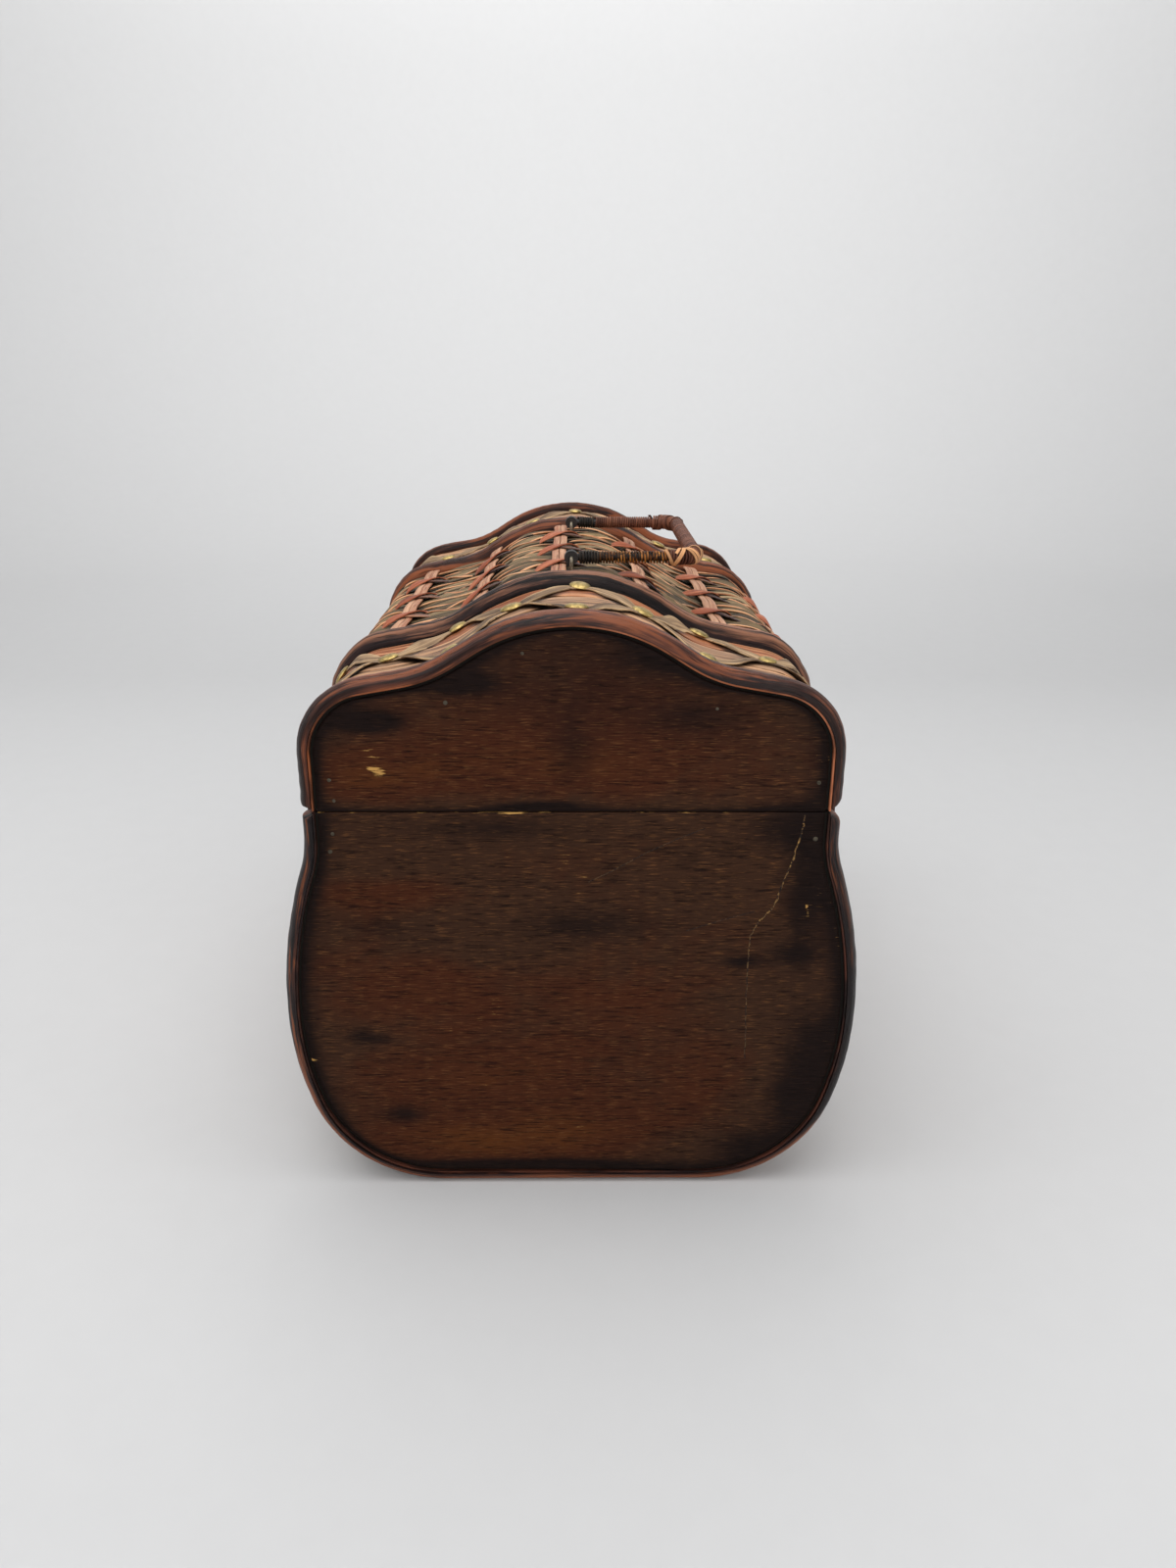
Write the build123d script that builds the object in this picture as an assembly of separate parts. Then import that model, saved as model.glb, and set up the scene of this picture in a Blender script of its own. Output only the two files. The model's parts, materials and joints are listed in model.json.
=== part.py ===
from build123d import *
import math
import os

os.makedirs("parts", exist_ok=True)

# A small dome-topped cane chest: two shaped end boards per half, a woven skin bent over them, half-round
# cane rims and hoops, a rear hinge of eyes and staples, a front hasp with a turn button, a wrapped bail.
# X runs along the chest, -Y is the latch side, +Y the hinge side, Z up from the floor. Millimetres.

# Overall size and the seam between body and lid
chest_length = 322.0
seam_z = 166.5
seam_gap = 0.4
side_half_width = 94.2
body_top = seam_z - seam_gap / 2
lid_bottom = seam_z + seam_gap / 2

# Body outline: a straight top, a hollow flare, a long belly, a tighter side and a round lower corner
flare_start_z = 156.0
flare_radius = 50.0
flare_angle = 18.6
belly_radius = 185.0
side_radius = 130.0
side_angle = 18.0

# Lid outline: a round shoulder, a sloping shelf, a hollow curve and a domed crown
shoulder_start_z = 188.5
shoulder_radius = 22.0
shelf_angle = 79.5
shelf_length = 16.5
hollow_radius = 52.0
crown_angle = 58.0
rise_length = 10.0

# Boards
panel_thickness = 8.0
panel_recess = 1.0
floor_thickness = 6.0
batten_width = 8.0
batten_height = 9.0
ridge_batten_width = 14.0
ridge_batten_height = 6.0
board_clearance = 0.2

# Woven skin and what is laid on it, as distances out from the boards' outline
matting_thickness = 1.2
matting_recess = 2.4
reveal_recess = 0.6
reveal_thickness = 0.9
rim_width = 12.4
rim_height = 4.6
hoop_width = 18.0
hoop_height = 6.4
hoop_x = 83.0
rim_base = matting_thickness + reveal_thickness
floor_cut = 0.5

# Flat splints across the chest: five in each tacked band, fourteen between the hoops
band_splints = 5
band_splint_width = 10.4
band_splint_pitch = 11.1
band_splint_thickness = 2.2
weft_splints = 14
weft_splint_width = 9.6
weft_splint_pitch = 10.5
weft_splint_thickness = 2.4

# Ribs along the chest and the slanting straps that bind them
rib_width = 6.5
rib_height = 1.2
rib_length = 147.2
rib_pitch = 37.0
rib_offset = -5.5
lid_ribs_each_side = 3
body_ribs_each_side = 5
strap_pitch = 38.0
strap_half_length = 12.0
strap_rise = 1.5
strap_lift = 0.2
strap_width = 5.0
strap_thickness = 0.8
strap_slant = 33.0

# Rails along the seam
rail_height = 10.0
rail_thickness = 5.0
rail_round = 2.2
rail_clearance = 0.6

# Rear hinge: the rails behind the axis are bevelled, and the bevels stop the open lid
hinge_y = 98.5
hinge_x = 110.0
hinge_wire = 1.8
hinge_eye_radius = 2.8
hinge_eye_width = 3.0
hinge_leg_x = 4.0
hinge_leg_length = 8.0
bevel_angle = 55.0
bevel_depth = 8.0
bore_clearance = 0.05
pocket_clearance = 0.35
staple_pocket_clearance = 0.85

# Bail handle on the ridge
handle_half_span = 55.0
handle_reach = 54.0
handle_z = 243.4
handle_corner = 9.0
core_radius = 1.6
grip_radius = 2.7
grip_start = 42.0
handle_eye_radius = 3.0
handle_eye_width = 4.6
handle_wire = 1.6
handle_leg_x = 4.2
handle_leg_bottom = 230.2
winding_clearance = 0.03

# Cane strip wound on the bail's two arms: strip diameter, pitch, turns, middle of the winding along the arm
end_binding = (1.25, 1.75, 4, 7.7)
arm_winding = (1.1, 1.6, 18, 27.0)

# Front latch: a slotted hasp on the body and a turn button on the lid
latch_plate_thickness = 1.2
latch_plate_width = 18.0
latch_plate_height = 8.0
hasp_pivot_out = 3.2
hasp_pivot_z = 158.6
hasp_pin_radius = 0.9
knuckle_radius = 1.7
hasp_knuckle_half = 4.7
body_knuckle_inner = 5.0
hasp_thickness = 1.1
hasp_width = 16.0
hasp_length = 24.0
hasp_neck = 2.6
hasp_neck_width = 9.4
hasp_slot_centre = 15.9
hasp_slot_length = 10.2
hasp_slot_width = 5.2
hasp_hang_tilt = 14.0
button_length = 9.0
button_width = 4.0
button_height = 2.2
button_shank_radius = 1.5
button_rivet_radius = 2.4
button_rivet_length = 0.8
button_play = 0.3

# Derived places
half_length = chest_length / 2
front_rail_face = -(side_half_width + matting_thickness + rail_thickness)
hasp_pivot_y = front_rail_face - hasp_pivot_out
button_z = hasp_pivot_z + hasp_slot_centre
splint_limit_body = body_top - rail_height - rail_clearance
splint_limit_lid = lid_bottom + rail_height + rail_clearance


def polar(centre, radius, degrees):
    """The point at an angle and distance from a centre, in the outline's own plane."""
    angle = math.radians(degrees)
    return (centre[0] + radius * math.cos(angle), centre[1] + radius * math.sin(angle))


# Centres of the body's arcs, each on the line through the last tangent point
flare_centre = (side_half_width + flare_radius, flare_start_z)
belly_centre = polar(flare_centre, flare_radius + belly_radius, 180 + flare_angle)
side_centre = (belly_centre[0] + belly_radius - side_radius, belly_centre[1])
corner_drop = side_radius * math.sin(math.radians(side_angle))
base_z = matting_thickness + reveal_thickness + rim_height - floor_cut
corner_radius = (side_centre[1] - corner_drop - base_z) / (1 - math.sin(math.radians(side_angle)))
corner_centre = polar(side_centre, side_radius - corner_radius, -side_angle)

# Centres of the lid's arcs
shoulder_centre = (side_half_width - shoulder_radius, shoulder_start_z)
shelf_start = polar(shoulder_centre, shoulder_radius, shelf_angle)
shelf_end = polar(shelf_start, shelf_length, shelf_angle + 90)
hollow_centre = polar(shelf_end, hollow_radius, shelf_angle)
rise_start = polar(hollow_centre, hollow_radius, 180 + crown_angle)
rise_end = polar(rise_start, rise_length, crown_angle + 90)
crown_radius = rise_end[0] / math.cos(math.radians(crown_angle))
crown_centre = (0.0, rise_end[1] - crown_radius * math.sin(math.radians(crown_angle)))


def body_half(out):
    """The right half of the body's outline, from the seam to the middle of the bottom."""
    bottom = corner_centre[1] - corner_radius - out
    return [
        Line((side_half_width + out, body_top), (side_half_width + out, flare_start_z)),
        CenterArc(flare_centre, flare_radius - out, 180, flare_angle),
        CenterArc(belly_centre, belly_radius + out, flare_angle, -flare_angle),
        CenterArc(side_centre, side_radius + out, 0, -side_angle),
        CenterArc(corner_centre, corner_radius + out, -side_angle, side_angle - 90),
        Line((corner_centre[0], bottom), (0, bottom)),
    ]


def lid_half(out):
    """The right half of the lid's outline, from the seam to the ridge."""
    return [
        Line((side_half_width + out, lid_bottom), (side_half_width + out, shoulder_start_z)),
        CenterArc(shoulder_centre, shoulder_radius + out, 0, shelf_angle),
        Line(polar(shelf_start, out, shelf_angle), polar(shelf_end, out, shelf_angle)),
        CenterArc(hollow_centre, hollow_radius - out, 180 + shelf_angle, crown_angle - shelf_angle),
        Line(polar(rise_start, out, crown_angle), polar(rise_end, out, crown_angle)),
        CenterArc(crown_centre, crown_radius + out, crown_angle, 90 - crown_angle),
    ]


def outline(half, out):
    """The whole open outline, from the right seam round to the left seam."""
    right = half(out)
    left = [edge.mirror(Plane.YZ) for edge in right]
    return Wire(right + left)


def region(half, out):
    """The flat area inside an outline, closed along the seam."""
    path = outline(half, out)
    top = body_top if half is body_half else lid_bottom
    closing = Line((side_half_width + out, top), (-side_half_width - out, top))
    return make_face(path.edges() + [closing])


def plate(half, out, x_from, x_to):
    """A board with the outline's shape."""
    return extrude(Plane.YZ.offset(x_from) * region(half, out), x_to - x_from)


def skin(half, inner, outer, x_from, x_to):
    """A bent layer between two distances from the outline."""
    layer = region(half, outer) - region(half, inner)
    return extrude(Plane.YZ.offset(x_from) * layer, x_to - x_from)


def half_round(width, height):
    """A flat-backed, round-faced cane section."""
    arc = ThreePointArc((-width / 2, 0), (0, height), (width / 2, 0))
    return make_face([arc, Line((width / 2, 0), (-width / 2, 0))])


def bent_cane(half, base, x_middle, width, height):
    """Half-round cane bent along the outline, its flat side on the work."""
    path = Plane.YZ.offset(x_middle) * outline(half, base)
    start = path.position_at(0)
    section = Plane(origin=start, x_dir=(1, 0, 0), z_dir=(0, 0, 1)) * half_round(width, height)
    return sweep(section, path=path)


def block(x, y, z):
    """A box from three pairs of limits."""
    size = [limits[1] - limits[0] for limits in (x, y, z)]
    middle = [(limits[1] + limits[0]) / 2 for limits in (x, y, z)]
    return Pos(*middle) * Box(*size)


def along_x(radius, x_from, x_to, y, z):
    """A round bar along the chest."""
    return Pos((x_from + x_to) / 2, y, z) * Rot(0, 90, 0) * Cylinder(radius, x_to - x_from)


below_floor = block((-half_length, half_length), (-130, 130), (-20, 0))
body_seam_zone = block((-half_length, half_length), (-130, 130), (splint_limit_body, seam_z + 20))
lid_seam_zone = block((-half_length, half_length), (-130, 130), (seam_z - 20, splint_limit_lid))


def stop_bevel():
    """The wedge behind the hinge axis that the open lid turns through."""
    rise = bevel_depth * math.tan(math.radians(bevel_angle))
    corners = [
        (hinge_y, seam_z),
        (hinge_y + bevel_depth, seam_z + rise),
        (hinge_y + bevel_depth, seam_z - rise),
    ]
    wedge = make_face(Polyline(*corners, close=True))
    return extrude(Plane.YZ.offset(-half_length - 1) * wedge, chest_length + 2)


def hinge_eye(x):
    """A wire eye whose stem is driven down into the body's rear rail."""
    ring = along_x(hinge_eye_radius, x - hinge_eye_width / 2, x + hinge_eye_width / 2, hinge_y, seam_z)
    stem = Pos(x, hinge_y, seam_z - hinge_leg_length / 2) * Cylinder(hinge_wire / 2, hinge_leg_length)
    bore = along_x(hinge_wire / 2 + bore_clearance, x - 5, x + 5, hinge_y, seam_z)
    return ring + stem - bore


def wire_staple(x, y, z, wire, leg_x, leg_end):
    """A wire staple: a bar along X with two legs that run up or down."""
    corner = wire
    path = FilletPolyline(
        (x - leg_x, y, leg_end), (x - leg_x, y, z), (x + leg_x, y, z), (x + leg_x, y, leg_end),
        radius=corner,
    )
    section = Plane(origin=(x - leg_x, y, leg_end), z_dir=(0, 0, 1)) * Circle(wire / 2)
    return sweep(section, path=path)


def hinge_staple(x):
    """The staple that passes through the hinge eye, legs up in the lid's rear rail."""
    return wire_staple(x, hinge_y, seam_z, hinge_wire, hinge_leg_x, seam_z + hinge_leg_length)


def hinge_pockets():
    """Room for the eyes and the staples' bars where the two rear rails meet."""
    pockets = []
    reach = hinge_leg_x + hinge_wire
    for x in (-hinge_x, hinge_x):
        eye_half = hinge_eye_width / 2 + pocket_clearance
        eye_pocket = hinge_eye_radius + pocket_clearance
        pockets.append(along_x(eye_pocket, x - eye_half, x + eye_half, hinge_y, seam_z))
        bar_pocket = hinge_wire / 2 + staple_pocket_clearance
        pockets.append(along_x(bar_pocket, x - reach, x + reach, hinge_y, seam_z))
    return pockets


def rail(side, z_middle):
    """A flattened half-round rail along the seam, outside the skin."""
    section = Rectangle(rail_thickness, rail_height)
    face = side_half_width + matting_thickness + rail_thickness / 2
    bar = extrude(Plane.YZ.offset(-half_length + rim_width + board_clearance) * Pos(face, z_middle) * section,
                  chest_length - 2 * (rim_width + board_clearance))
    outer_edges = bar.edges().filter_by(Axis.X).group_by(Axis.Y)[-1]
    bar = fillet(outer_edges, rail_round)
    return bar if side > 0 else bar.mirror(Plane.XZ)


def batten(side, z_from, z_to):
    """A wooden strip inside the skin at the seam, from end board to end board."""
    reach = half_length - panel_recess - panel_thickness - board_clearance
    edge = side * side_half_width
    inner = side * (side_half_width - batten_width)
    return block((-reach, reach), (min(edge, inner), max(edge, inner)), (z_from, z_to))


def splints(half, count, pitch, width, thickness, x_middle, seam_zone):
    """Flat splints laid side by side across the chest."""
    strips = []
    for index in range(count):
        x = x_middle + (index - (count - 1) / 2) * pitch
        strip = skin(half, matting_thickness, matting_thickness + thickness, x - width / 2, x + width / 2)
        strips.append(strip - seam_zone)
    return strips


def rib_frames(half, count_each_side):
    """A frame on the splints for every rib: X along the chest, Z straight out of the surface."""
    path = Plane.YZ * outline(half, matting_thickness + weft_splint_thickness)
    frames = []
    for index in range(-count_each_side, count_each_side + 1):
        distance = path.length / 2 - rib_offset - index * rib_pitch
        point = path.position_at(distance, position_mode=PositionMode.LENGTH)
        tangent = path.tangent_at(distance, position_mode=PositionMode.LENGTH)
        outward = Vector(0, tangent.Z, -tangent.Y)
        if half is body_half:
            outward = -outward
        frames.append(Plane(origin=point, x_dir=(1, 0, 0), z_dir=outward))
    return frames


def rib(frame):
    """A flat-backed rib along the chest, between the hoops."""
    section = Plane(origin=(-rib_length / 2, 0, 0), x_dir=(0, 1, 0), z_dir=(1, 0, 0)) * half_round(
        rib_width, rib_height)
    return frame * extrude(section, rib_length)


def strap(frame, x):
    """A thin strap arched slantwise over a rib."""
    under = ThreePointArc((-strap_half_length, 0), (0, strap_rise), (strap_half_length, 0))
    over = ThreePointArc((-strap_half_length, strap_thickness), (0, strap_rise + strap_thickness),
                         (strap_half_length, strap_thickness))
    ends = [Line(under @ 0, over @ 0), Line(under @ 1, over @ 1)]
    side_view = Plane.XZ.offset(-strap_width / 2) * make_face([under, over] + ends)
    arched = extrude(side_view, strap_width)
    return frame * Pos(x, 0, strap_lift) * Rot(0, 0, strap_slant) * arched


def straps(frames):
    """Three straps over every rib, between the hoops."""
    return [strap(frame, step * strap_pitch) for frame in frames for step in (-1, 0, 1)]


def handle_path(y_from):
    """The bail's centre line, lying level towards the hinge side."""
    return FilletPolyline(
        (handle_half_span, y_from, handle_z),
        (handle_half_span, handle_reach, handle_z),
        (-handle_half_span, handle_reach, handle_z),
        (-handle_half_span, y_from, handle_z),
        radius=handle_corner,
    )


def handle_tube(radius, y_from):
    """A round bar along the bail."""
    section = Plane(origin=(handle_half_span, y_from, handle_z), z_dir=(0, 1, 0)) * Circle(radius)
    return sweep(section, path=handle_path(y_from))


def handle_core():
    """The bail's rod, with an eye at each end."""
    rod = handle_tube(core_radius, 0)
    for side in (-1, 1):
        x = side * handle_half_span
        half_eye = handle_eye_width / 2
        rod += along_x(handle_eye_radius, x - half_eye, x + half_eye, 0, handle_z)
    for side in (-1, 1):
        x = side * handle_half_span
        rod -= along_x(handle_wire / 2 + bore_clearance, x - 5, x + 5, 0, handle_z)
    return rod


def biarc(start, start_tangent, end, end_tangent):
    """Two arcs that join two points with a tangent given at each."""
    chord = end - start
    both = start_tangent + end_tangent
    square_term = 2 * (start_tangent.dot(end_tangent) - 1)
    linear_term = -2 * chord.dot(both)
    root = math.sqrt(linear_term ** 2 - 4 * square_term * chord.dot(chord))
    solutions = ((root - linear_term) / (2 * square_term), (-root - linear_term) / (2 * square_term))
    reach = min(value for value in solutions if value > 0)
    middle = (start + end + (start_tangent - end_tangent) * reach) * 0.5
    return [
        TangentArc(start, middle, tangent=start_tangent),
        TangentArc(middle, end, tangent=-end_tangent, tangent_from_first=False),
    ]


def winding_path(radius, pitch, turns):
    """A helix along Y about the origin, on one biarc for every half turn."""
    climb = pitch / math.tau
    length = pitch * turns
    points = []
    tangents = []
    for half_turn in range(2 * turns + 1):
        angle = half_turn * math.pi
        points.append(Vector(radius * math.cos(angle), climb * angle - length / 2, -radius * math.sin(angle)))
        tangent = Vector(-radius * math.sin(angle), climb, -radius * math.cos(angle))
        tangents.append(tangent.normalized())
    arcs = []
    for index in range(2 * turns):
        arcs += biarc(points[index], tangents[index], points[index + 1], tangents[index + 1])
    return Wire(arcs)


def least_gap(path, turns, strip):
    """The least gap between a winding and its own next turn, measured on 48 points a turn."""
    samples = 48
    points = [path.position_at(index / (turns * samples)) for index in range(turns * samples + 1)]
    nearest = min(
        (point - other).length
        for index, point in enumerate(points)
        for other in points[index + samples // 2:index + 2 * samples]
    )
    return nearest - strip


def arm_windings(name, strip, pitch, turns, y_middle):
    """One unbroken strip wound round each arm of the bail."""
    path = winding_path(core_radius + winding_clearance + strip / 2, pitch, turns)
    section = Plane(origin=path @ 0, z_dir=path % 0) * Circle(strip / 2)
    wound = sweep(section, path=path)
    print(name, "least gap between turns, mm:", round(least_gap(path, turns, strip), 2))
    return [Pos(side * handle_half_span, y_middle, handle_z) * wound for side in (-1, 1)]


def grip_winding():
    """The winding of the grip and its two corners, too fine to show its turns."""
    outer = handle_tube(grip_radius, grip_start)
    inner = handle_tube(core_radius + winding_clearance, grip_start)
    return outer - inner


def handle_staples():
    """The two staples that hold the bail, clinched in the ridge batten."""
    return [
        wire_staple(side * handle_half_span, 0, handle_z, handle_wire, handle_leg_x, handle_leg_bottom)
        for side in (-1, 1)
    ]


def ridge_batten():
    """A strip under the ridge, its top bent to the crown, that anchors the handle."""
    reach = half_length - panel_recess - panel_thickness - board_clearance
    top = crown_centre[1] + crown_radius
    strip = block((-reach, reach), (-ridge_batten_width / 2, ridge_batten_width / 2),
                  (top - ridge_batten_height, top + 1))
    return strip & plate(lid_half, 0, -reach, reach)


def floor_board():
    """The bottom board, its edges shaped to the body's round corners."""
    reach = half_length - panel_recess - panel_thickness - board_clearance
    slab = block((-reach, reach), (-130, 130), (0, base_z + floor_thickness))
    return slab & plate(body_half, 0, -reach, reach)


def hasp_plate_on_body():
    """The hasp's back plate with its two knuckles."""
    plate_top = hasp_pivot_z + latch_plate_height - knuckle_radius
    half_width = latch_plate_width / 2
    back = block((-half_width, half_width), (front_rail_face - latch_plate_thickness, front_rail_face),
                 (hasp_pivot_z - knuckle_radius, plate_top))
    for side in (-1, 1):
        x_from = min(side * body_knuckle_inner, side * half_width)
        x_to = max(side * body_knuckle_inner, side * half_width)
        back += along_x(knuckle_radius, x_from, x_to, hasp_pivot_y, hasp_pivot_z)
        back += block((x_from, x_to), (hasp_pivot_y, front_rail_face),
                      (hasp_pivot_z - knuckle_radius, hasp_pivot_z + knuckle_radius))
    return back - along_x(hasp_pin_radius, -half_width - 1, half_width + 1, hasp_pivot_y, hasp_pivot_z)


def hasp_pin():
    """The hasp's hinge pin, held in the back plate's knuckles."""
    half_width = latch_plate_width / 2
    return along_x(hasp_pin_radius, -half_width, half_width, hasp_pivot_y, hasp_pivot_z)


def hasp():
    """The slotted hasp, hanging open with its end clear of the belly."""
    half_width = hasp_width / 2
    leaf = block((-half_width, half_width), (-hasp_thickness / 2, hasp_thickness / 2),
                 (-hasp_length, -hasp_neck))
    leaf = fillet(leaf.edges().filter_by(Axis.Y).group_by(Axis.Z)[0], half_width * 0.8)
    leaf += block((-hasp_neck_width / 2, hasp_neck_width / 2), (-hasp_thickness / 2, hasp_thickness / 2),
                  (-hasp_neck - 0.5, 0))
    leaf += along_x(knuckle_radius, -hasp_knuckle_half, hasp_knuckle_half, 0, 0)
    leaf -= along_x(hasp_pin_radius + bore_clearance, -6, 6, 0, 0)
    slot = SlotOverall(hasp_slot_length, hasp_slot_width)
    leaf -= extrude(Plane.XZ.offset(-2) * Pos(0, -hasp_slot_centre) * slot, 4)
    return Pos(0, hasp_pivot_y, hasp_pivot_z) * Rot(-hasp_hang_tilt, 0, 0) * leaf


def along_y(radius, y_from, y_to):
    """A round bar on the turn button's axis."""
    return Pos(0, (y_from + y_to) / 2, button_z) * Rot(90, 0, 0) * Cylinder(radius, y_to - y_from)


def button_bores():
    """The holes in the lid's front rail for the button's shank and its riveted end."""
    back = front_rail_face + rail_thickness
    return [
        along_y(button_shank_radius + bore_clearance, front_rail_face - 1, back + 1),
        along_y(button_rivet_radius + pocket_clearance, front_rail_face - 1,
                front_rail_face + button_rivet_length + pocket_clearance),
    ]


def button_plate():
    """The turn button's base plate on the lid's front rail."""
    face = front_rail_face - latch_plate_thickness
    base = SlotOverall(latch_plate_width, latch_plate_height)
    solid = extrude(Plane.XZ.offset(-front_rail_face) * Pos(0, lid_bottom + rail_height / 2) * base,
                    latch_plate_thickness)
    return solid - along_y(button_shank_radius + bore_clearance, face - 1, front_rail_face + 1)


def turn_button():
    """The turn button: a shank and an oval head that passes the hasp's slot one way only."""
    head_from = hasp_pivot_y - hasp_thickness / 2 - button_play
    rivet_end = front_rail_face + button_rivet_length
    shank = along_y(button_shank_radius, head_from, rivet_end)
    shank += along_y(button_rivet_radius, front_rail_face + bore_clearance, rivet_end)
    oval = SlotOverall(button_length, button_width)
    head = extrude(Plane.XZ.offset(-head_from) * Pos(0, button_z) * oval, button_height)
    head = fillet(head.edges().group_by(Axis.Y)[0], 0.6)
    return shank + head


def write(name, *solids):
    """Write one sub-part: a single solid, or several separate ones."""
    shape = solids[0] if len(solids) == 1 else Compound(children=[s for s in solids])
    shape.label = name
    export_step(shape, f"parts/{name}.step")


def without(shape, tools):
    """A shape with each tool cut away."""
    for tool in tools:
        shape = shape - tool
    return shape


end_sides = (("left", -1), ("right", 1))
halves = (("body", body_half, body_seam_zone), ("lid", lid_half, lid_seam_zone))
bevel = stop_bevel()
pockets = hinge_pockets()
hinge_eyes = [hinge_eye(x) for x in (-hinge_x, hinge_x)]
hinge_staples = [hinge_staple(x) for x in (-hinge_x, hinge_x)]
bail_staples = handle_staples()

# End boards, reveal strips, rims and hoops, for both halves and both ends
for half_name, half, seam_zone in halves:
    for side_name, side in end_sides:
        face = half_length - panel_recess
        x_pair = sorted((side * face, side * (face - panel_thickness)))
        write(f"{half_name}_end_board_{side_name}", plate(half, 0, *x_pair))

        strip_pair = sorted((side * (half_length - reveal_recess), side * (half_length - rim_width)))
        write(f"{half_name}_reveal_strip_{side_name}", skin(half, matting_thickness, rim_base, *strip_pair))

        rim = bent_cane(half, rim_base, side * (half_length - rim_width / 2), rim_width, rim_height)
        write(f"{half_name}_end_rim_{side_name}", rim - below_floor - bevel)

        hoop = bent_cane(half, matting_thickness, side * hoop_x, hoop_width, hoop_height)
        write(f"{half_name}_hoop_{side_name}", hoop - below_floor - seam_zone)

        band_middle = side * (hoop_x + hoop_width / 2 + half_length - rim_width) / 2
        write(f"{half_name}_band_splints_{side_name}",
              *splints(half, band_splints, band_splint_pitch, band_splint_width, band_splint_thickness,
                       band_middle, seam_zone))

# Woven skins
matting_end = half_length - matting_recess
write("body_matting", skin(body_half, 0, matting_thickness, -matting_end, matting_end))
write("lid_matting", without(skin(lid_half, 0, matting_thickness, -matting_end, matting_end), bail_staples))

# Splints, ribs and straps between the hoops
body_frames = rib_frames(body_half, body_ribs_each_side)
lid_frames = rib_frames(lid_half, lid_ribs_each_side)
write("body_weft_splints", *splints(body_half, weft_splints, weft_splint_pitch, weft_splint_width,
                                    weft_splint_thickness, 0, body_seam_zone))
lid_weft = splints(lid_half, weft_splints, weft_splint_pitch, weft_splint_width,
                   weft_splint_thickness, 0, lid_seam_zone)
write("lid_weft_splints", *[without(strip, bail_staples) for strip in lid_weft])
write("body_ribs", *[rib(frame) for frame in body_frames])
write("lid_ribs", *[rib(frame) for frame in lid_frames])
write("body_straps", *straps(body_frames))
write("lid_straps", *straps(lid_frames))

# Seam rails and battens
body_rail_z = body_top - rail_height / 2
lid_rail_z = lid_bottom + rail_height / 2
write("body_rail_front", rail(-1, body_rail_z))
write("body_rail_rear", without(rail(1, body_rail_z), [bevel] + pockets + hinge_eyes))
write("lid_rail_front", without(rail(-1, lid_rail_z), button_bores()))
write("lid_rail_rear", without(rail(1, lid_rail_z), [bevel] + pockets + hinge_staples))
write("body_batten_front", batten(-1, body_top - batten_height, body_top))
write("body_batten_rear", batten(1, body_top - batten_height, body_top))
write("lid_batten_front", batten(-1, lid_bottom, lid_bottom + batten_height))
write("lid_batten_rear", batten(1, lid_bottom, lid_bottom + batten_height))
write("floor_board", floor_board())
write("lid_ridge_batten", without(ridge_batten(), bail_staples))

# Hinges
write("hinge_eyes", *hinge_eyes)
write("hinge_staples", *hinge_staples)

# Handle
write("handle_staples", *bail_staples)
write("handle_core", handle_core())
write("handle_end_bindings", *arm_windings("end binding", *end_binding))
write("handle_arm_windings", *arm_windings("arm winding", *arm_winding))
write("handle_grip_winding", grip_winding())

# Latch
write("hasp_back_plate", hasp_plate_on_body())
write("hasp_pin", hasp_pin())
write("hasp", hasp())
write("button_plate", button_plate())
write("turn_button", turn_button())
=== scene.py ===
"""The looks of a dome-topped woven cane chest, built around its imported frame.

Lengths are metres and angles are degrees, unless a name says otherwise. Every new piece is a profile carried
along a path, worked out as whole numpy arrays, and its object sits at the origin.
"""
import json
import math

import bpy
import numpy as np
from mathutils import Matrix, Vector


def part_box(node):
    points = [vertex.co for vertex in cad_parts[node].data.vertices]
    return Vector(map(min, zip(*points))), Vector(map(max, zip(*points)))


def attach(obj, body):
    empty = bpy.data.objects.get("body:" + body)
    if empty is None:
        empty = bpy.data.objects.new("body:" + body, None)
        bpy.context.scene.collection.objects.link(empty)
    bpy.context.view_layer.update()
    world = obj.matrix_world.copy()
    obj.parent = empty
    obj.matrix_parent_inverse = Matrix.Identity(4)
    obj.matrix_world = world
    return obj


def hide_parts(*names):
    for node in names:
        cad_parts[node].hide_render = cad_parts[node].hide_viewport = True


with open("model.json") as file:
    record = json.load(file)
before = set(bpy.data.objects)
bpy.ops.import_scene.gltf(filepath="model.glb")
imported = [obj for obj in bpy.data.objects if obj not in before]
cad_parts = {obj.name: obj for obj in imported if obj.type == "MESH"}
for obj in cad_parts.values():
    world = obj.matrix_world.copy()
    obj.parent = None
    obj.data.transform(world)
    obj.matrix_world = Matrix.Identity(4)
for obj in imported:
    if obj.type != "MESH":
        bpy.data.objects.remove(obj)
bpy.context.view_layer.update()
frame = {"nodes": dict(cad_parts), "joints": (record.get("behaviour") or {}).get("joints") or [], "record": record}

bl_info = {
    "name": "Woven chest",
    "version": (1, 0, 0),
    "blender": (4, 5, 0),
    "location": "View3D > Sidebar > Chest",
    "description": "Woven cane, bent rims, stained boards and brass tacks for a small dome-topped chest",
    "category": "Object",
}

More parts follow.
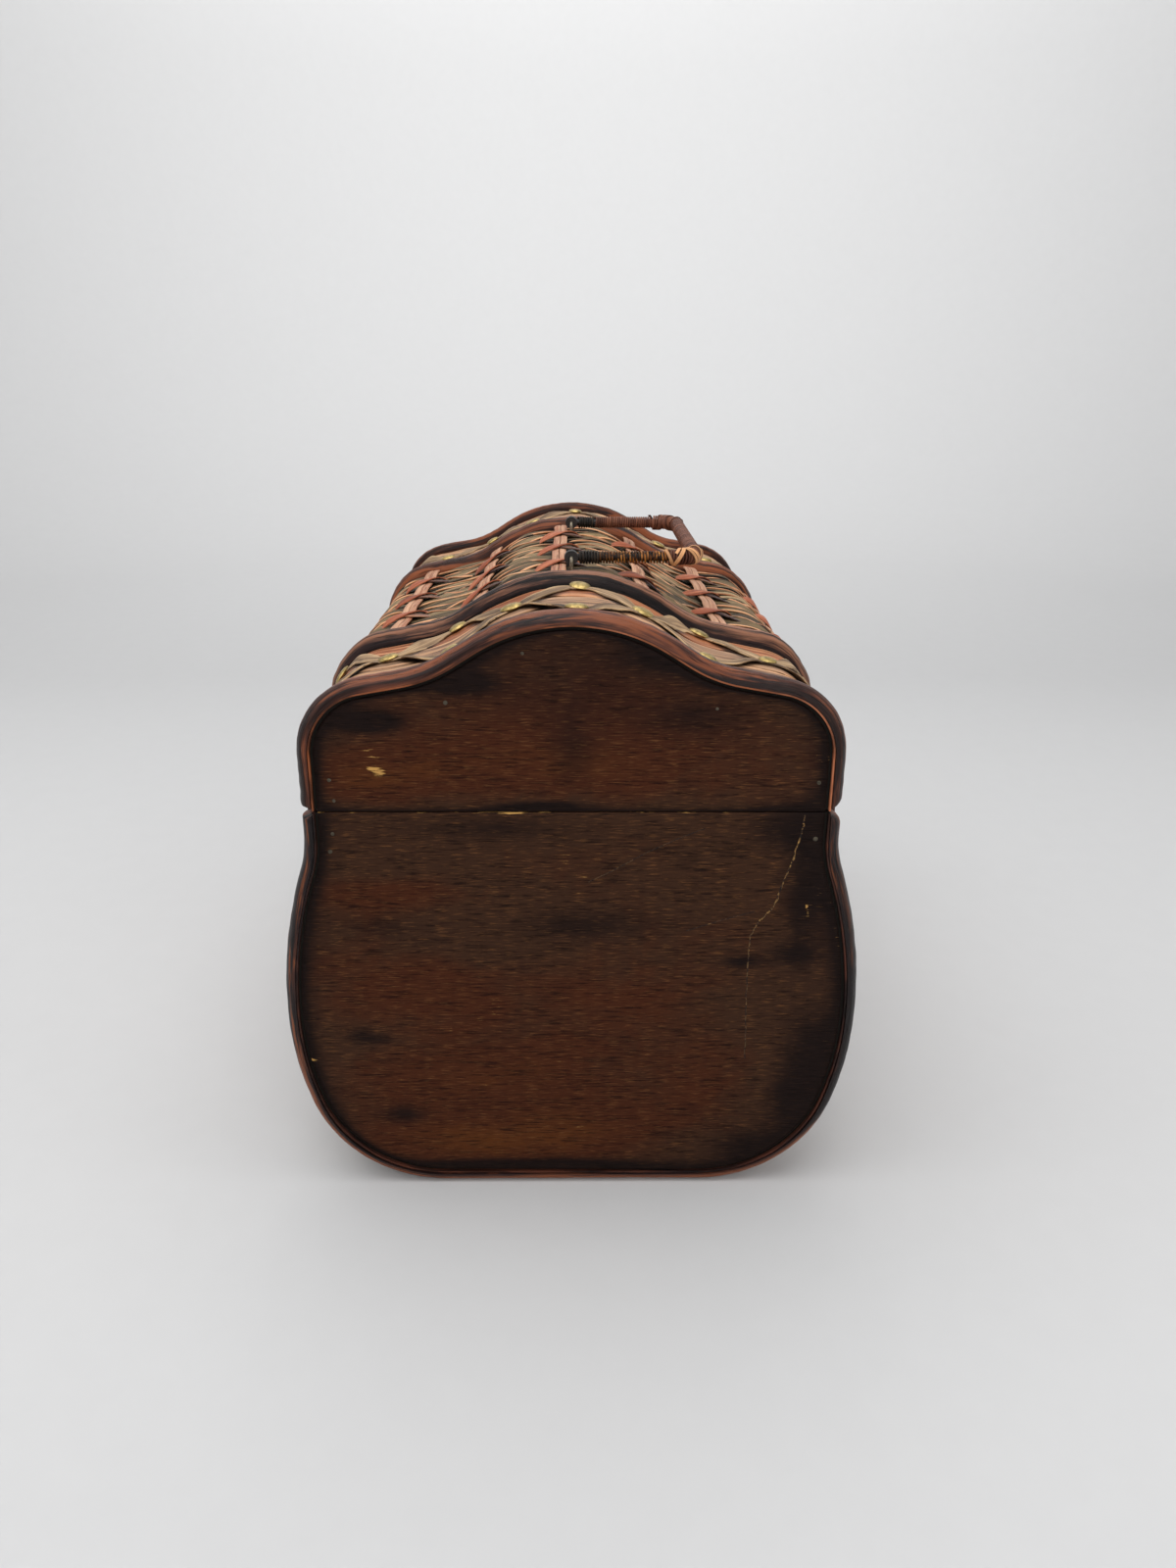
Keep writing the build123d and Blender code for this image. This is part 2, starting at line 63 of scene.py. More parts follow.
# Places read from the frame
LID_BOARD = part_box("lid_end_board_right")
BODY_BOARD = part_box("body_end_board_right")
HALF_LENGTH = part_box("lid_end_rim_right")[1][0]
SIDE_HALF_WIDTH = LID_BOARD[1][1]
LID_BOTTOM = LID_BOARD[0][2]
BODY_TOP = BODY_BOARD[1][2]
BODY_BASE = BODY_BOARD[0][2]
BOARD_FACE = LID_BOARD[1][0]
BOARD_THICKNESS = LID_BOARD[1][0] - LID_BOARD[0][0]
BAIL_Z = next(joint for joint in frame["joints"] if joint["name"] == "handle_swing")["pos_m"][2]
BODIES = {"lid": "lid", "body": "chest_body"}
ENDS = {"left": -1.0, "right": 1.0}

# Layers of the shell, as distances out from the boards' outline
SKIN = 0.0012
RIM_BASE = 0.0021
RIM_WIDTH = 0.0124
RIM_HEIGHT = 0.0046
HOOP_X = 0.083
HOOP_WIDTH = 0.018
HOOP_HEIGHT = 0.0064
LAID = 0.0036

# Ribs along the chest, and the rows where straps bind them
RIB_PITCH = 0.037
RIB_OFFSET = -0.0055
RIBS_EACH_SIDE = {"lid": 3, "body": 5}
RAIL_REACH = 0.0108
STRAP_ROWS = (-0.041, 0.001, 0.043)
STRAP_ROW_PITCH = 0.042
WEAVE_HALF = HOOP_X - HOOP_WIDTH / 2

# Bail on the ridge
BAIL_HALF_SPAN = 0.055
BAIL_REACH = 0.054
BAIL_CORNER = 0.009
BAIL_CORE = 0.0016


def srgb(red, green, blue):
    """A colour read off a screen, 0 to 255, as linear light."""
    parts = np.array((red, green, blue)) / 255.0
    linear = np.where(parts <= 0.04045, parts / 12.92, ((parts + 0.055) / 1.055) ** 2.4)
    return tuple(float(part) for part in linear)


# Shape of the shell

def direction(degrees):
    """Unit vector at an angle, in the outline's plane: first across the chest, then up."""
    angle = np.radians(degrees)
    return np.stack([np.cos(angle), np.sin(angle)], axis=-1)


class Outline:
    """One outline of the chest, read by the distance s from the middle of its ridge or bottom.

    s is positive towards +Y. That half is a chain of stretches that starts at the seam. A straight stretch of
    length L goes on at right angles to the normal. An arc of radius R turns the normal n evenly to its last
    angle, and its points are p0 + R (n - n0); a hollow arc has a negative R. travel is 1 for a normal that
    turns upwards from the seam and -1 for one that turns down. The other half is the mirror image.
    """

    def __init__(self, start, travel, stretches, samples=160):
        points = []
        angles = []
        place = np.array(start, dtype=float)
        angle = 0.0
        for stretch in stretches:
            kind, size, last_angle = stretch(place, angle)
            part = np.linspace(0, 1, samples)
            if kind == "line":
                onward = direction(angle + 90 * travel)
                steps = place + part[:, None] * size * onward
                turned = np.full(samples, angle)
            else:
                turned = angle + part * (last_angle - angle)
                steps = place + size * (direction(turned) - direction(angle))
            points.append(steps)
            angles.append(turned)
            place = steps[-1]
            angle = turned[-1]
        points = np.concatenate(points)[::-1]
        angles = np.concatenate(angles)[::-1]
        reference = points + LAID * direction(angles)
        steps = np.hypot(*np.diff(reference, axis=0).T)
        self.s = np.concatenate([[0], np.cumsum(steps)])
        keep = np.concatenate([[True], steps > 1e-9])
        self.s, self.points, self.angles = self.s[keep], points[keep], angles[keep]
        self.half = self.s[-1]

    def normal(self, s):
        """Outward direction at s."""
        out = direction(np.interp(np.abs(s), self.s, self.angles))
        out[..., 0] *= np.where(np.asarray(s) < 0, -1.0, 1.0)
        return np.concatenate([np.zeros(out.shape[:-1] + (1,)), out], axis=-1)

    def place(self, s, x, out):
        """Point at s, at x along the chest, moved outwards by out."""
        s, x, out = np.broadcast_arrays(np.asarray(s, dtype=float), x, out)
        side = np.where(s < 0, -1.0, 1.0)
        across = np.interp(np.abs(s), self.s, self.points[:, 0]) * side
        up = np.interp(np.abs(s), self.s, self.points[:, 1])
        ground = np.stack([x, across, up], axis=-1)
        return ground + out[..., None] * self.normal(s)


def line(length):
    """A straight stretch of a given length."""
    return lambda place, angle: ("line", length(place) if callable(length) else length, angle)


def arc(radius, last_angle):
    """An arc that turns the normal to an angle; a radius may depend on where the arc starts."""
    return lambda place, angle: ("arc", radius(place, angle) if callable(radius) else radius, last_angle)


SHOULDER_START = 0.1885
FLARE_START = 0.156
LID_STRETCHES = (
    line(SHOULDER_START - LID_BOTTOM),
    arc(0.022, 79.5),
    line(0.0165),
    arc(-0.052, 58.0),
    line(0.010),
    arc(lambda place, angle: place[0] / math.cos(math.radians(angle)), 90.0),
)
BODY_STRETCHES = (
    line(BODY_TOP - FLARE_START),
    arc(-0.050, 18.6),
    arc(0.185, 0.0),
    arc(0.130, -18.0),
    arc(lambda place, angle: (place[1] - BODY_BASE) / (1 + math.sin(math.radians(angle))), -90.0),
    line(lambda place: place[0]),
)
OUTLINES = {
    "lid": Outline((SIDE_HALF_WIDTH, LID_BOTTOM), 1, LID_STRETCHES),
    "body": Outline((SIDE_HALF_WIDTH, BODY_TOP), -1, BODY_STRETCHES),
}


def rib_places(half):
    """Distances s of the ribs, from the rear side to the front one."""
    count = RIBS_EACH_SIDE[half]
    return RIB_OFFSET + RIB_PITCH * np.arange(-count, count + 1)


# Mesh making

def smooth_noise(rng, shape, t, waves=5, lowest=1.0, highest=6.0):
    """Random smooth curves between about -1 and 1: sums of sines of t with random rates and phases.

    shape is one value for each curve, and t holds the same samples for all, so the result is shape + t.shape.
    """
    rate = rng.uniform(lowest, highest, shape + (waves,))[..., None]
    phase = rng.uniform(0, math.tau, shape + (waves,))[..., None]
    size = rng.uniform(0.4, 1.0, shape + (waves,))[..., None]
    curves = size * np.sin(math.tau * rate * t + phase)
    return curves.sum(axis=-2) / size.sum(axis=-2) * 1.6


def unit(vectors):
    """Vectors scaled to length one."""
    return vectors / np.maximum(np.linalg.norm(vectors, axis=-1, keepdims=True), 1e-12)


def carry(centres, normals, across, lift, roll=0.0):
    """Rings of a profile carried along paths.

    T is the path's direction by differences, B = N x T its side, and U = T x B its top. B and U turn about T
    by roll, and a ring point is C + across B + lift U. centres and normals are (paths, rings, 3); across and
    lift are (paths, rings, points) or shapes that fit it.
    """
    tangents = unit(np.gradient(centres, axis=-2))
    side = unit(np.cross(normals, tangents))
    top = np.cross(tangents, side)
    turn = np.radians(np.broadcast_to(roll, centres.shape[:-1]))[..., None]
    rolled_side = np.cos(turn) * side + np.sin(turn) * top
    rolled_top = np.cos(turn) * top - np.sin(turn) * side
    across, lift = np.broadcast_arrays(across, lift)
    return (centres[..., None, :] + across[..., None] * rolled_side[..., None, :]
            + lift[..., None] * rolled_top[..., None, :])


def rounded_strip(points=8, squareness=0.55):
    """A flat strip's profile in half widths and half thicknesses: a rounded box, sign(c) |c| ^ squareness."""
    angle = (np.arange(points) + 0.5) * math.tau / points
    cosine, sine = np.cos(angle), np.sin(angle)
    return np.sign(cosine) * np.abs(cosine) ** squareness, np.sign(sine) * np.abs(sine) ** squareness


def half_cane(points=18, flat_points=5):
    """A half-round cane's profile in half widths and heights: an ellipse above, and a flat below."""
    angle = np.linspace(0, math.pi, points)
    flat = np.linspace(-1, 1, flat_points + 2)[1:-1]
    across = np.concatenate([np.cos(angle), flat])
    lift = np.concatenate([np.sin(angle) ** 0.9, np.zeros(flat_points)])
    return across, lift


def along(centres):
    """Distance travelled along each path."""
    steps = np.linalg.norm(np.diff(centres, axis=-2), axis=-1)
    start = np.zeros(steps.shape[:-1] + (1,))
    return np.concatenate([start, np.cumsum(steps, axis=-1)], axis=-1)


def ring_faces(paths, rings, points):
    """Quads from each ring to the next, and one flat face over each end, facing outwards."""
    index = np.arange(paths * rings * points).reshape(paths, rings, points)
    near, far = index[:, :-1], index[:, 1:]
    quads = np.stack([near, np.roll(near, -1, axis=2), np.roll(far, -1, axis=2), far], axis=-1)
    first, last = index[:, 0, ::-1], index[:, -1]
    return quads.reshape(-1, 4), np.concatenate([first, last])


class Piece:
    """A mesh object built from rings, with its UV map and its vertex layers tone, mark and shade."""

    def __init__(self, name, slot, carrier):
        self.name = name
        self.slot = slot
        self.body = BODIES.get(carrier, carrier)
        self.vertices = []
        self.faces = []
        self.maps = []
        self.layers = {"tone": [], "mark": [], "shade": []}
        self.materials = []
        self.indices = []
        self.count = 0

    def add(self, rings, u, v, material, tone=0.0, mark=0.0, shade=0.0):
        """Adds closed tubes: rings (paths, rings, points, 3), with UV in metres and vertex values.

        A vertex value is one number, one for each path, or an array that fits (paths, rings, points).
        """
        paths, count, points = rings.shape[:3]
        quads, ends = ring_faces(paths, count, points)
        if material not in self.materials:
            self.materials.append(material)
        number = self.materials.index(material)
        self.vertices.append(rings.reshape(-1, 3))
        self.faces += (quads + self.count).tolist() + (ends + self.count).tolist()
        self.indices.append(np.full(len(quads) + len(ends), number))
        uv = np.stack(np.broadcast_arrays(u, v, rings[..., 0])[:2], axis=-1)
        self.maps.append(uv.reshape(-1, 2))
        for key, value in (("tone", tone), ("mark", mark), ("shade", shade)):
            value = np.asarray(value, dtype=float)
            value = value.reshape(value.shape + (1,) * (3 - value.ndim)) if value.ndim else value
            self.layers[key].append(np.broadcast_to(value, rings.shape[:-1]).reshape(-1))
        self.count += paths * count * points

    def finish(self, *nodes, sharp=40.0):
        """Makes the object, rides it on its body and lets it stand for CAD nodes."""
        mesh = bpy.data.meshes.new(self.name)
        mesh.from_pydata(np.concatenate(self.vertices), [], self.faces)
        corners = np.empty(len(mesh.loops), dtype=np.int32)
        mesh.loops.foreach_get("vertex_index", corners)
        strip_map = mesh.uv_layers.new(name="strip")
        strip_map.data.foreach_set("uv", np.concatenate(self.maps)[corners].ravel())
        for key, values in self.layers.items():
            layer = mesh.attributes.new(key, "FLOAT", "POINT")
            layer.data.foreach_set("value", np.concatenate(values))
        mesh.polygons.foreach_set("material_index", np.concatenate(self.indices).astype(np.int32))
        mesh.polygons.foreach_set("use_smooth", np.ones(len(mesh.polygons), dtype=bool))
        for material in self.materials:
            mesh.materials.append(material)
        mesh.update()
        mesh.set_sharp_from_angle(angle=math.radians(sharp))
        piece = bpy.data.objects.new(self.name, mesh)
        bpy.context.scene.collection.objects.link(piece)
        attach(piece, self.body)
        if nodes:
            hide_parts(*nodes)


def lay_strips(piece, half, s, x, out, half_width, half_thickness, material, roll=0.0, tone=0.0, mark=0.0,
               points=8, squareness=0.55, shade=0.0):
    """Flat strips laid on an outline along lines (s, x, out), each (paths, samples)."""
    outline = OUTLINES[half]
    s, x, out = np.broadcast_arrays(s, x, out)
    centres = outline.place(s, x, out)
    unit_across, unit_lift = rounded_strip(points, squareness)
    width = np.broadcast_to(half_width, s.shape)[..., None]
    thickness = np.broadcast_to(half_thickness, s.shape)[..., None]
    rings = carry(centres, outline.normal(s), width * unit_across, thickness * unit_lift, roll)
    piece.add(rings, along(centres)[..., None], width * unit_across, material, tone, mark, shade)


# Materials

# Sockets of a mix node for colours
MIX_SHARE, MIX_FIRST, MIX_SECOND, MIX_RESULT = 0, 6, 7, 2


def dim(colour, share):
    """A colour made darker."""
    return tuple(share * part for part in colour)


class Finish:
    """A node material on one shader, with short calls for the nodes that its pattern is made of."""

    def __init__(self, name, **shader_values):
        self.material = bpy.data.materials.new(name)
        self.material.use_nodes = True
        self.tree = self.material.node_tree
        self.shader = self.tree.nodes["Principled BSDF"]
        for socket, value in shader_values.items():
            self.shader.inputs[socket.replace("_", " ")].default_value = value

    def node(self, kind, inputs=(), **properties):
        """A node with some inputs linked or set, given as (socket, value) pairs."""
        node = self.tree.nodes.new(kind)
        for key, value in properties.items():
            setattr(node, key, value)
        for socket, value in inputs:
            if isinstance(value, bpy.types.NodeSocket):
                self.tree.links.new(value, node.inputs[socket])
            else:
                node.inputs[socket].default_value = value
        return node

    def math(self, operation, first, second=0.0, third=0.0, clamp=False):
        """A math node's result."""
        inputs = ((0, first), (1, second), (2, third))
        return self.node("ShaderNodeMath", inputs, operation=operation, use_clamp=clamp).outputs[0]

    def space(self, uv=False):
        """The pattern's coordinates in metres: the piece's own UV map, or Object coordinates."""
        if uv:
            return self.node("ShaderNodeUVMap", uv_map="strip").outputs["UV"]
        return self.node("ShaderNodeTexCoord").outputs["Object"]

    def layer(self, name):
        """One of the piece's own vertex values."""
        return self.node("ShaderNodeAttribute", attribute_name=name).outputs["Fac"]

    def stretch(self, space, scale, offset=None):
        """Coordinates scaled along each axis, and moved by a value along the third."""
        scaled = self.node("ShaderNodeVectorMath", ((0, space), (1, scale)), operation="MULTIPLY").outputs[0]
        if offset is None:
            return scaled
        moved = self.node("ShaderNodeCombineXYZ", ((2, offset),)).outputs[0]
        return self.node("ShaderNodeVectorMath", ((0, scaled), (1, moved)), operation="ADD").outputs[0]

    def noise(self, space, detail=3.0, roughness=0.55, distortion=0.0):
        """Noise with one wave for each unit of its coordinates."""
        inputs = (("Vector", space), ("Scale", 1.0), ("Detail", detail), ("Roughness", roughness),
                  ("Distortion", distortion))
        return self.node("ShaderNodeTexNoise", inputs).outputs["Fac"]

    def band(self, value, low, high):
        """The value's place between low and high, from 0 to 1, eased."""
        inputs = (("Value", value), ("From Min", low), ("From Max", high))
        return self.node("ShaderNodeMapRange", inputs, interpolation_type="SMOOTHSTEP").outputs[0]

    def mix(self, share, first, second):
        """A colour between the first and the second, by a share from 0 to 1."""
        colours = [value if isinstance(value, bpy.types.NodeSocket) else tuple(value) + (1.0,)
                   for value in (first, second)]
        inputs = ((MIX_SHARE, share), (MIX_FIRST, colours[0]), (MIX_SECOND, colours[1]))
        return self.node("ShaderNodeMix", inputs, data_type="RGBA").outputs[MIX_RESULT]

    def bump(self, height, distance):
        """Relief of the surface, by a height from 0 to 1 and the distance in metres that 1 stands for."""
        inputs = (("Height", height), ("Distance", distance), ("Strength", 1.0))
        normal = self.node("ShaderNodeBump", inputs).outputs[0]
        self.tree.links.new(normal, self.shader.inputs["Normal"])

    def paint(self, colour=None, roughness=None):
        """Ends the pattern in the shader, and gives the material."""
        for socket, value in (("Base Color", colour), ("Roughness", roughness)):
            if value is not None:
                self.tree.links.new(value, self.shader.inputs[socket])
        return self.material


def cane_finish(name, dark, middle, light, gloss=0.45, fibre=2600.0, relief=0.00012, edge_wear=0.35,
                black_share=0.25, patch=(38.0, 90.0), shine=0.22, wear=0.51):
    """Split or bent cane: long fibres of three tones, darker pores, lighter worn edges, and painted shade from the
    shade layer.

    u runs along the strip and v across it, in metres, so the fibres are noise stretched along u.
    """
    finish = Finish(name, Roughness=gloss, Specular_IOR_Level=shine)
    space = finish.space(uv=True)
    tone = finish.layer("tone")
    shift = finish.math("MULTIPLY", tone, 37.0)
    fibres = finish.noise(finish.stretch(space, (60.0, fibre, 1.0), shift), detail=4.0, roughness=0.6)
    streaks = finish.noise(finish.stretch(space, (16.0, fibre / 6, 1.0), shift), detail=3.0)
    patches = finish.noise(finish.stretch(space, (patch[0], patch[1], 1.0), shift), detail=4.0, roughness=0.6,
                           distortion=0.4)
    share = finish.math("ADD", finish.math("MULTIPLY", streaks, 0.60), finish.math("MULTIPLY", fibres, 0.40))
    share = finish.math("ADD", share, finish.math("MULTIPLY", tone, 0.12))
    colour = finish.mix(finish.band(share, 0.38, 0.53), dark, middle)
    colour = finish.mix(finish.band(share, 0.52, 0.68), colour, light)
    blackening = finish.math("MULTIPLY", finish.band(patches, 0.46, 0.58), black_share)
    colour = finish.mix(blackening, colour, dim(dark, 0.25))
    torn = finish.math("MULTIPLY_ADD", fibres, 0.30, finish.math("SUBTRACT", patches, 0.15))
    worn = finish.math("MULTIPLY", finish.layer("mark"), finish.band(torn, wear, wear - 0.09))
    colour = finish.mix(finish.math("MULTIPLY", worn, edge_wear, clamp=True), colour, light)
    cracks = finish.noise(finish.stretch(space, (34.0, fibre * 0.45, 1.0), shift), detail=2.0, roughness=0.7)
    lines = finish.math("MAXIMUM", finish.band(cracks, 0.40, 0.33), finish.band(fibres, 0.38, 0.26))
    colour = finish.mix(finish.math("MULTIPLY", lines, 0.7), colour, dim(dark, 0.3))
    # Painted shade: the shade layer takes the colour almost to black in gaps, on undersides and in contact
    # shadows; on the bail's arms it also darkens the turns next to the black bindings
    colour = finish.mix(finish.layer("shade"), colour, dim(dark, 0.10))
    rough = finish.math("MULTIPLY_ADD", fibres, 0.35, gloss - 0.12)
    finish.bump(finish.math("SUBTRACT", finish.math("ADD", fibres, streaks), lines), relief)
    return finish.paint(colour, rough)


class ChestColours(bpy.types.PropertyGroup):
    """Colours of the cane, the boards and the metal."""

    def colour(label, about, value):
        return bpy.props.FloatVectorProperty(name=label, description=about, subtype="COLOR", size=3, min=0.0,
                                             max=1.0, default=value)

    board_dark: colour("Board, dark", "Blackened stain near the edges", srgb(27, 18, 16))
    board_brown: colour("Board, brown", "Olive-brown stain over most of the board", srgb(59, 38, 26))
    board_red: colour("Board, red", "Redder stain in the middle", srgb(68, 35, 20))
    board_golden: colour("Board, golden", "Thin golden stain towards the bottom", srgb(88, 49, 21))
    board_fleck: colour("Board, fleck", "Short pale flecks of the grain", srgb(118, 78, 46))
    board_gold: colour("Board, worn", "Bare wood where the stain is worn through", srgb(196, 150, 84))
    rim_dark: colour("Rim, dark", "Purple-brown stain of the bent cane", srgb(38, 23, 22))
    rim_brown: colour("Rim, brown", "Red-brown cane", srgb(88, 48, 34))
    rim_orange: colour("Rim, orange", "Cane worn to orange", srgb(152, 84, 48))
    hoop_dark: colour("Hoop, dark", "Almost black stain of the hoops", srgb(30, 22, 22))
    hoop_light: colour("Hoop, light", "Dusty brown of the hoops' upper edge", srgb(142, 96, 72))
    olive_dark: colour("Splint, dark", "Dark fibres of the wide splints", srgb(56, 45, 31))
    olive: colour("Splint, olive", "Wide splints across the chest", srgb(128, 105, 72))
    olive_light: colour("Splint, light", "Pale fibres of the wide splints", srgb(186, 158, 116))
    reed_dark: colour("Reed, dark", "Shaded side of the narrow reeds", srgb(96, 62, 42))
    reed: colour("Reed, orange", "Narrow reeds", srgb(196, 128, 84))
    reed_light: colour("Reed, light", "Worn top of the narrow reeds", srgb(238, 180, 132))
    rib: colour("Rib, pink", "Strips of the ribs", srgb(180, 128, 98))
    rib_light: colour("Rib, light", "Worn top of the ribs", srgb(210, 162, 128))
    strap: colour("Strap, red", "Straps over the ribs", srgb(160, 84, 54))
    strap_light: colour("Strap, light", "Worn top of the straps", srgb(196, 120, 84))
    strap_purple: colour("Strap, purple", "Straps that come out from under the red ones", srgb(72, 54, 55))
    band_tan: colour("Band, tan", "Tan splints under the tacks", srgb(172, 134, 104))
    band_orange: colour("Band, orange", "Orange-brown splint beside the hoop", srgb(166, 98, 60))
    brass: colour("Brass", "Worn brass of the tacks and the latch", srgb(196, 170, 108))
    iron: colour("Iron wire", "Dull tinned wire", srgb(150, 140, 122))


class ChestSizes(bpy.types.PropertyGroup):
    """Sizes of the details that the frame doesn't hold."""

    def size(label, about, value):
        return bpy.props.FloatProperty(name=label, description=about, unit="LENGTH", min=0.0, default=value,
                                       precision=5)

    strap_width: size("Strap width", "Width of the straps over the ribs", 0.0052)
    reed_width: size("Reed width", "Width of the narrow reeds", 0.0027)
    tack_width: size("Tack width", "Diameter of a tack's head", 0.0088)
    tack_spacing: size("Tack spacing", "Distance between tacks along a band", 0.0265)
    winding_width: size("Winding width", "Width of the cane strip wound on the bail", 0.00105)
    winding_pitch: size("Winding pitch", "Advance of the winding for each turn", 0.00128)


class ChestStage(bpy.types.PropertyGroup):
    """The camera and the lights."""

    lens: bpy.props.FloatProperty(name="Lens", description="Focal length on 36 mm", default=26.78, min=5.0)
    camera_height: bpy.props.FloatProperty(name="Camera height", description="Height above the floor",
                                           unit="LENGTH", default=0.3266)
    camera_distance: bpy.props.FloatProperty(name="Camera distance", description="Distance from the near rim",
                                             unit="LENGTH", default=0.4007)
    camera_pitch: bpy.props.FloatProperty(name="Camera pitch", description="Tilt below the horizon",
                                          subtype="ANGLE", default=math.radians(20.33))
    frame_shift: bpy.props.FloatProperty(name="Frame shift", default=17.0 / 1600.0,
                                         description="Sideways shift, as a part of the height")
    key_power: bpy.props.FloatProperty(name="Key light", default=17.0, min=0.0,
                                       description="Power of the large light overhead, in watts")
    fill_power: bpy.props.FloatProperty(name="Fill light", default=8.0, min=0.0,
                                        description="Power of the light by the camera, in watts")
    wall_power: bpy.props.FloatProperty(name="Wall light", default=26.0, min=0.0,
                                        description="Power of the light on the backdrop, in watts")
    sky: bpy.props.FloatProperty(name="Sky", description="Strength of the even light all round", default=0.25,
                                 min=0.0)
    floor_colour: bpy.props.FloatVectorProperty(name="Floor", description="Pale floor and backdrop",
                                                subtype="COLOR", size=3, min=0.0, max=1.0,
                                                default=srgb(210, 210, 210))


# End boards

# The last row's distance s and the number of rows, and the points of a row
BOARD_ROWS = {"lid": (0.002, 190), "body": (0.052, 230)}
BOARD_COLUMNS = 150

# Spots on the photographed face: place (y, z), half width, half height and strength
BOARD_DARK_SPOTS = (
    (-0.073, 0.2015, 0.012, 0.0042, 0.95), (-0.040, 0.216, 0.012, 0.004, 0.8),
    (0.000, 0.187, 0.010, 0.016, 0.40), (-0.012, 0.169, 0.016, 0.002, 0.8),
    (0.045, 0.203, 0.020, 0.008, 0.35), (0.080, 0.160, 0.018, 0.010, 0.50),
    (0.088, 0.130, 0.008, 0.030, 0.50), (0.004, 0.120, 0.030, 0.008, 0.55),
    (0.066, 0.104, 0.008, 0.003, 0.7), (0.084, 0.107, 0.010, 0.005, 0.45),
    (0.094, 0.062, 0.012, 0.022, 0.55), (0.087, 0.040, 0.011, 0.013, 0.50),
    (0.072, 0.018, 0.020, 0.010, 0.60), (0.000, 0.210, 0.060, 0.026, 0.34),
    (-0.068, 0.033, 0.012, 0.006, 0.65), (-0.084, 0.070, 0.006, 0.004, 0.6),
    (-0.075, 0.069, 0.006, 0.003, 0.5), (-0.030, 0.160, 0.040, 0.006, 0.45),
    (0.030, 0.225, 0.016, 0.006, 0.3), (-0.070, 0.118, 0.020, 0.006, 0.35),
    (0.050, 0.036, 0.008, 0.006, 0.3), (-0.020, 0.008, 0.060, 0.004, 0.7),
)
BOARD_WARM_SPOTS = (
    (-0.030, 0.020, 0.060, 0.014, 0.75), (-0.070, 0.180, 0.026, 0.010, 0.65),
    (-0.020, 0.188, 0.045, 0.014, 0.45), (-0.060, 0.092, 0.030, 0.014, 0.50),
    (-0.070, 0.134, 0.026, 0.008, 0.40), (0.055, 0.050, 0.018, 0.018, 0.35),
    (0.030, 0.180, 0.060, 0.010, 0.30), (-0.045, 0.050, 0.050, 0.016, 0.35),
)
BOARD_RED_SPOTS = (
    (0.020, 0.090, 0.040, 0.022, 0.7), (0.000, 0.210, 0.060, 0.020, 0.6),
    (-0.020, 0.060, 0.050, 0.020, 0.5), (0.035, 0.200, 0.040, 0.014, 0.4),
    (-0.090, 0.105, 0.020, 0.030, 0.4), (0.010, 0.036, 0.060, 0.016, 0.4),
)
BOARD_WORN_SPOTS = (
    (-0.0700, 0.1824, 0.0038, 0.0026, 0.56), (-0.0735, 0.1838, 0.0030, 0.0010, 0.40),
    (-0.0724, 0.1885, 0.0032, 0.0009, 0.48), (-0.0738, 0.1912, 0.0022, 0.0004, 0.44),
    (0.0908, 0.1250, 0.0005, 0.0012, 0.5), (0.0900, 0.1278, 0.0003, 0.0010, 0.5),
    (-0.1060, 0.0590, 0.0050, 0.0006, 0.9), (-0.0220, 0.1660, 0.0044, 0.0004, 0.62),
)
# Routes of the scratches as points (y, z)
SCRATCHES = (
    ((0.0866, 0.1655), (0.0863, 0.1600), (0.0831, 0.1463), (0.0800, 0.1370), (0.0775, 0.1278),
     (0.0720, 0.1215), (0.0690, 0.1150), (0.0687, 0.0959), (0.0692, 0.0780), (0.0698, 0.0600)),
    ((0.0063, 0.1381), (0.0150, 0.1425), (0.0283, 0.1503), (0.0400, 0.1560), (0.0500, 0.1602)),
    ((0.0442, 0.1174), (0.0560, 0.1215), (0.0702, 0.1258)),
)


def spots(y, z, places):
    """The sum of soft round spots, each exp(-(dy/a)^2 - (dz/b)^2) times its strength."""
    total = np.zeros_like(y)
    for spot_y, spot_z, wide, high, strength in places:
        total += strength * np.exp(-((y - spot_y) / wide) ** 2 - ((z - spot_z) / high) ** 2)
    return total


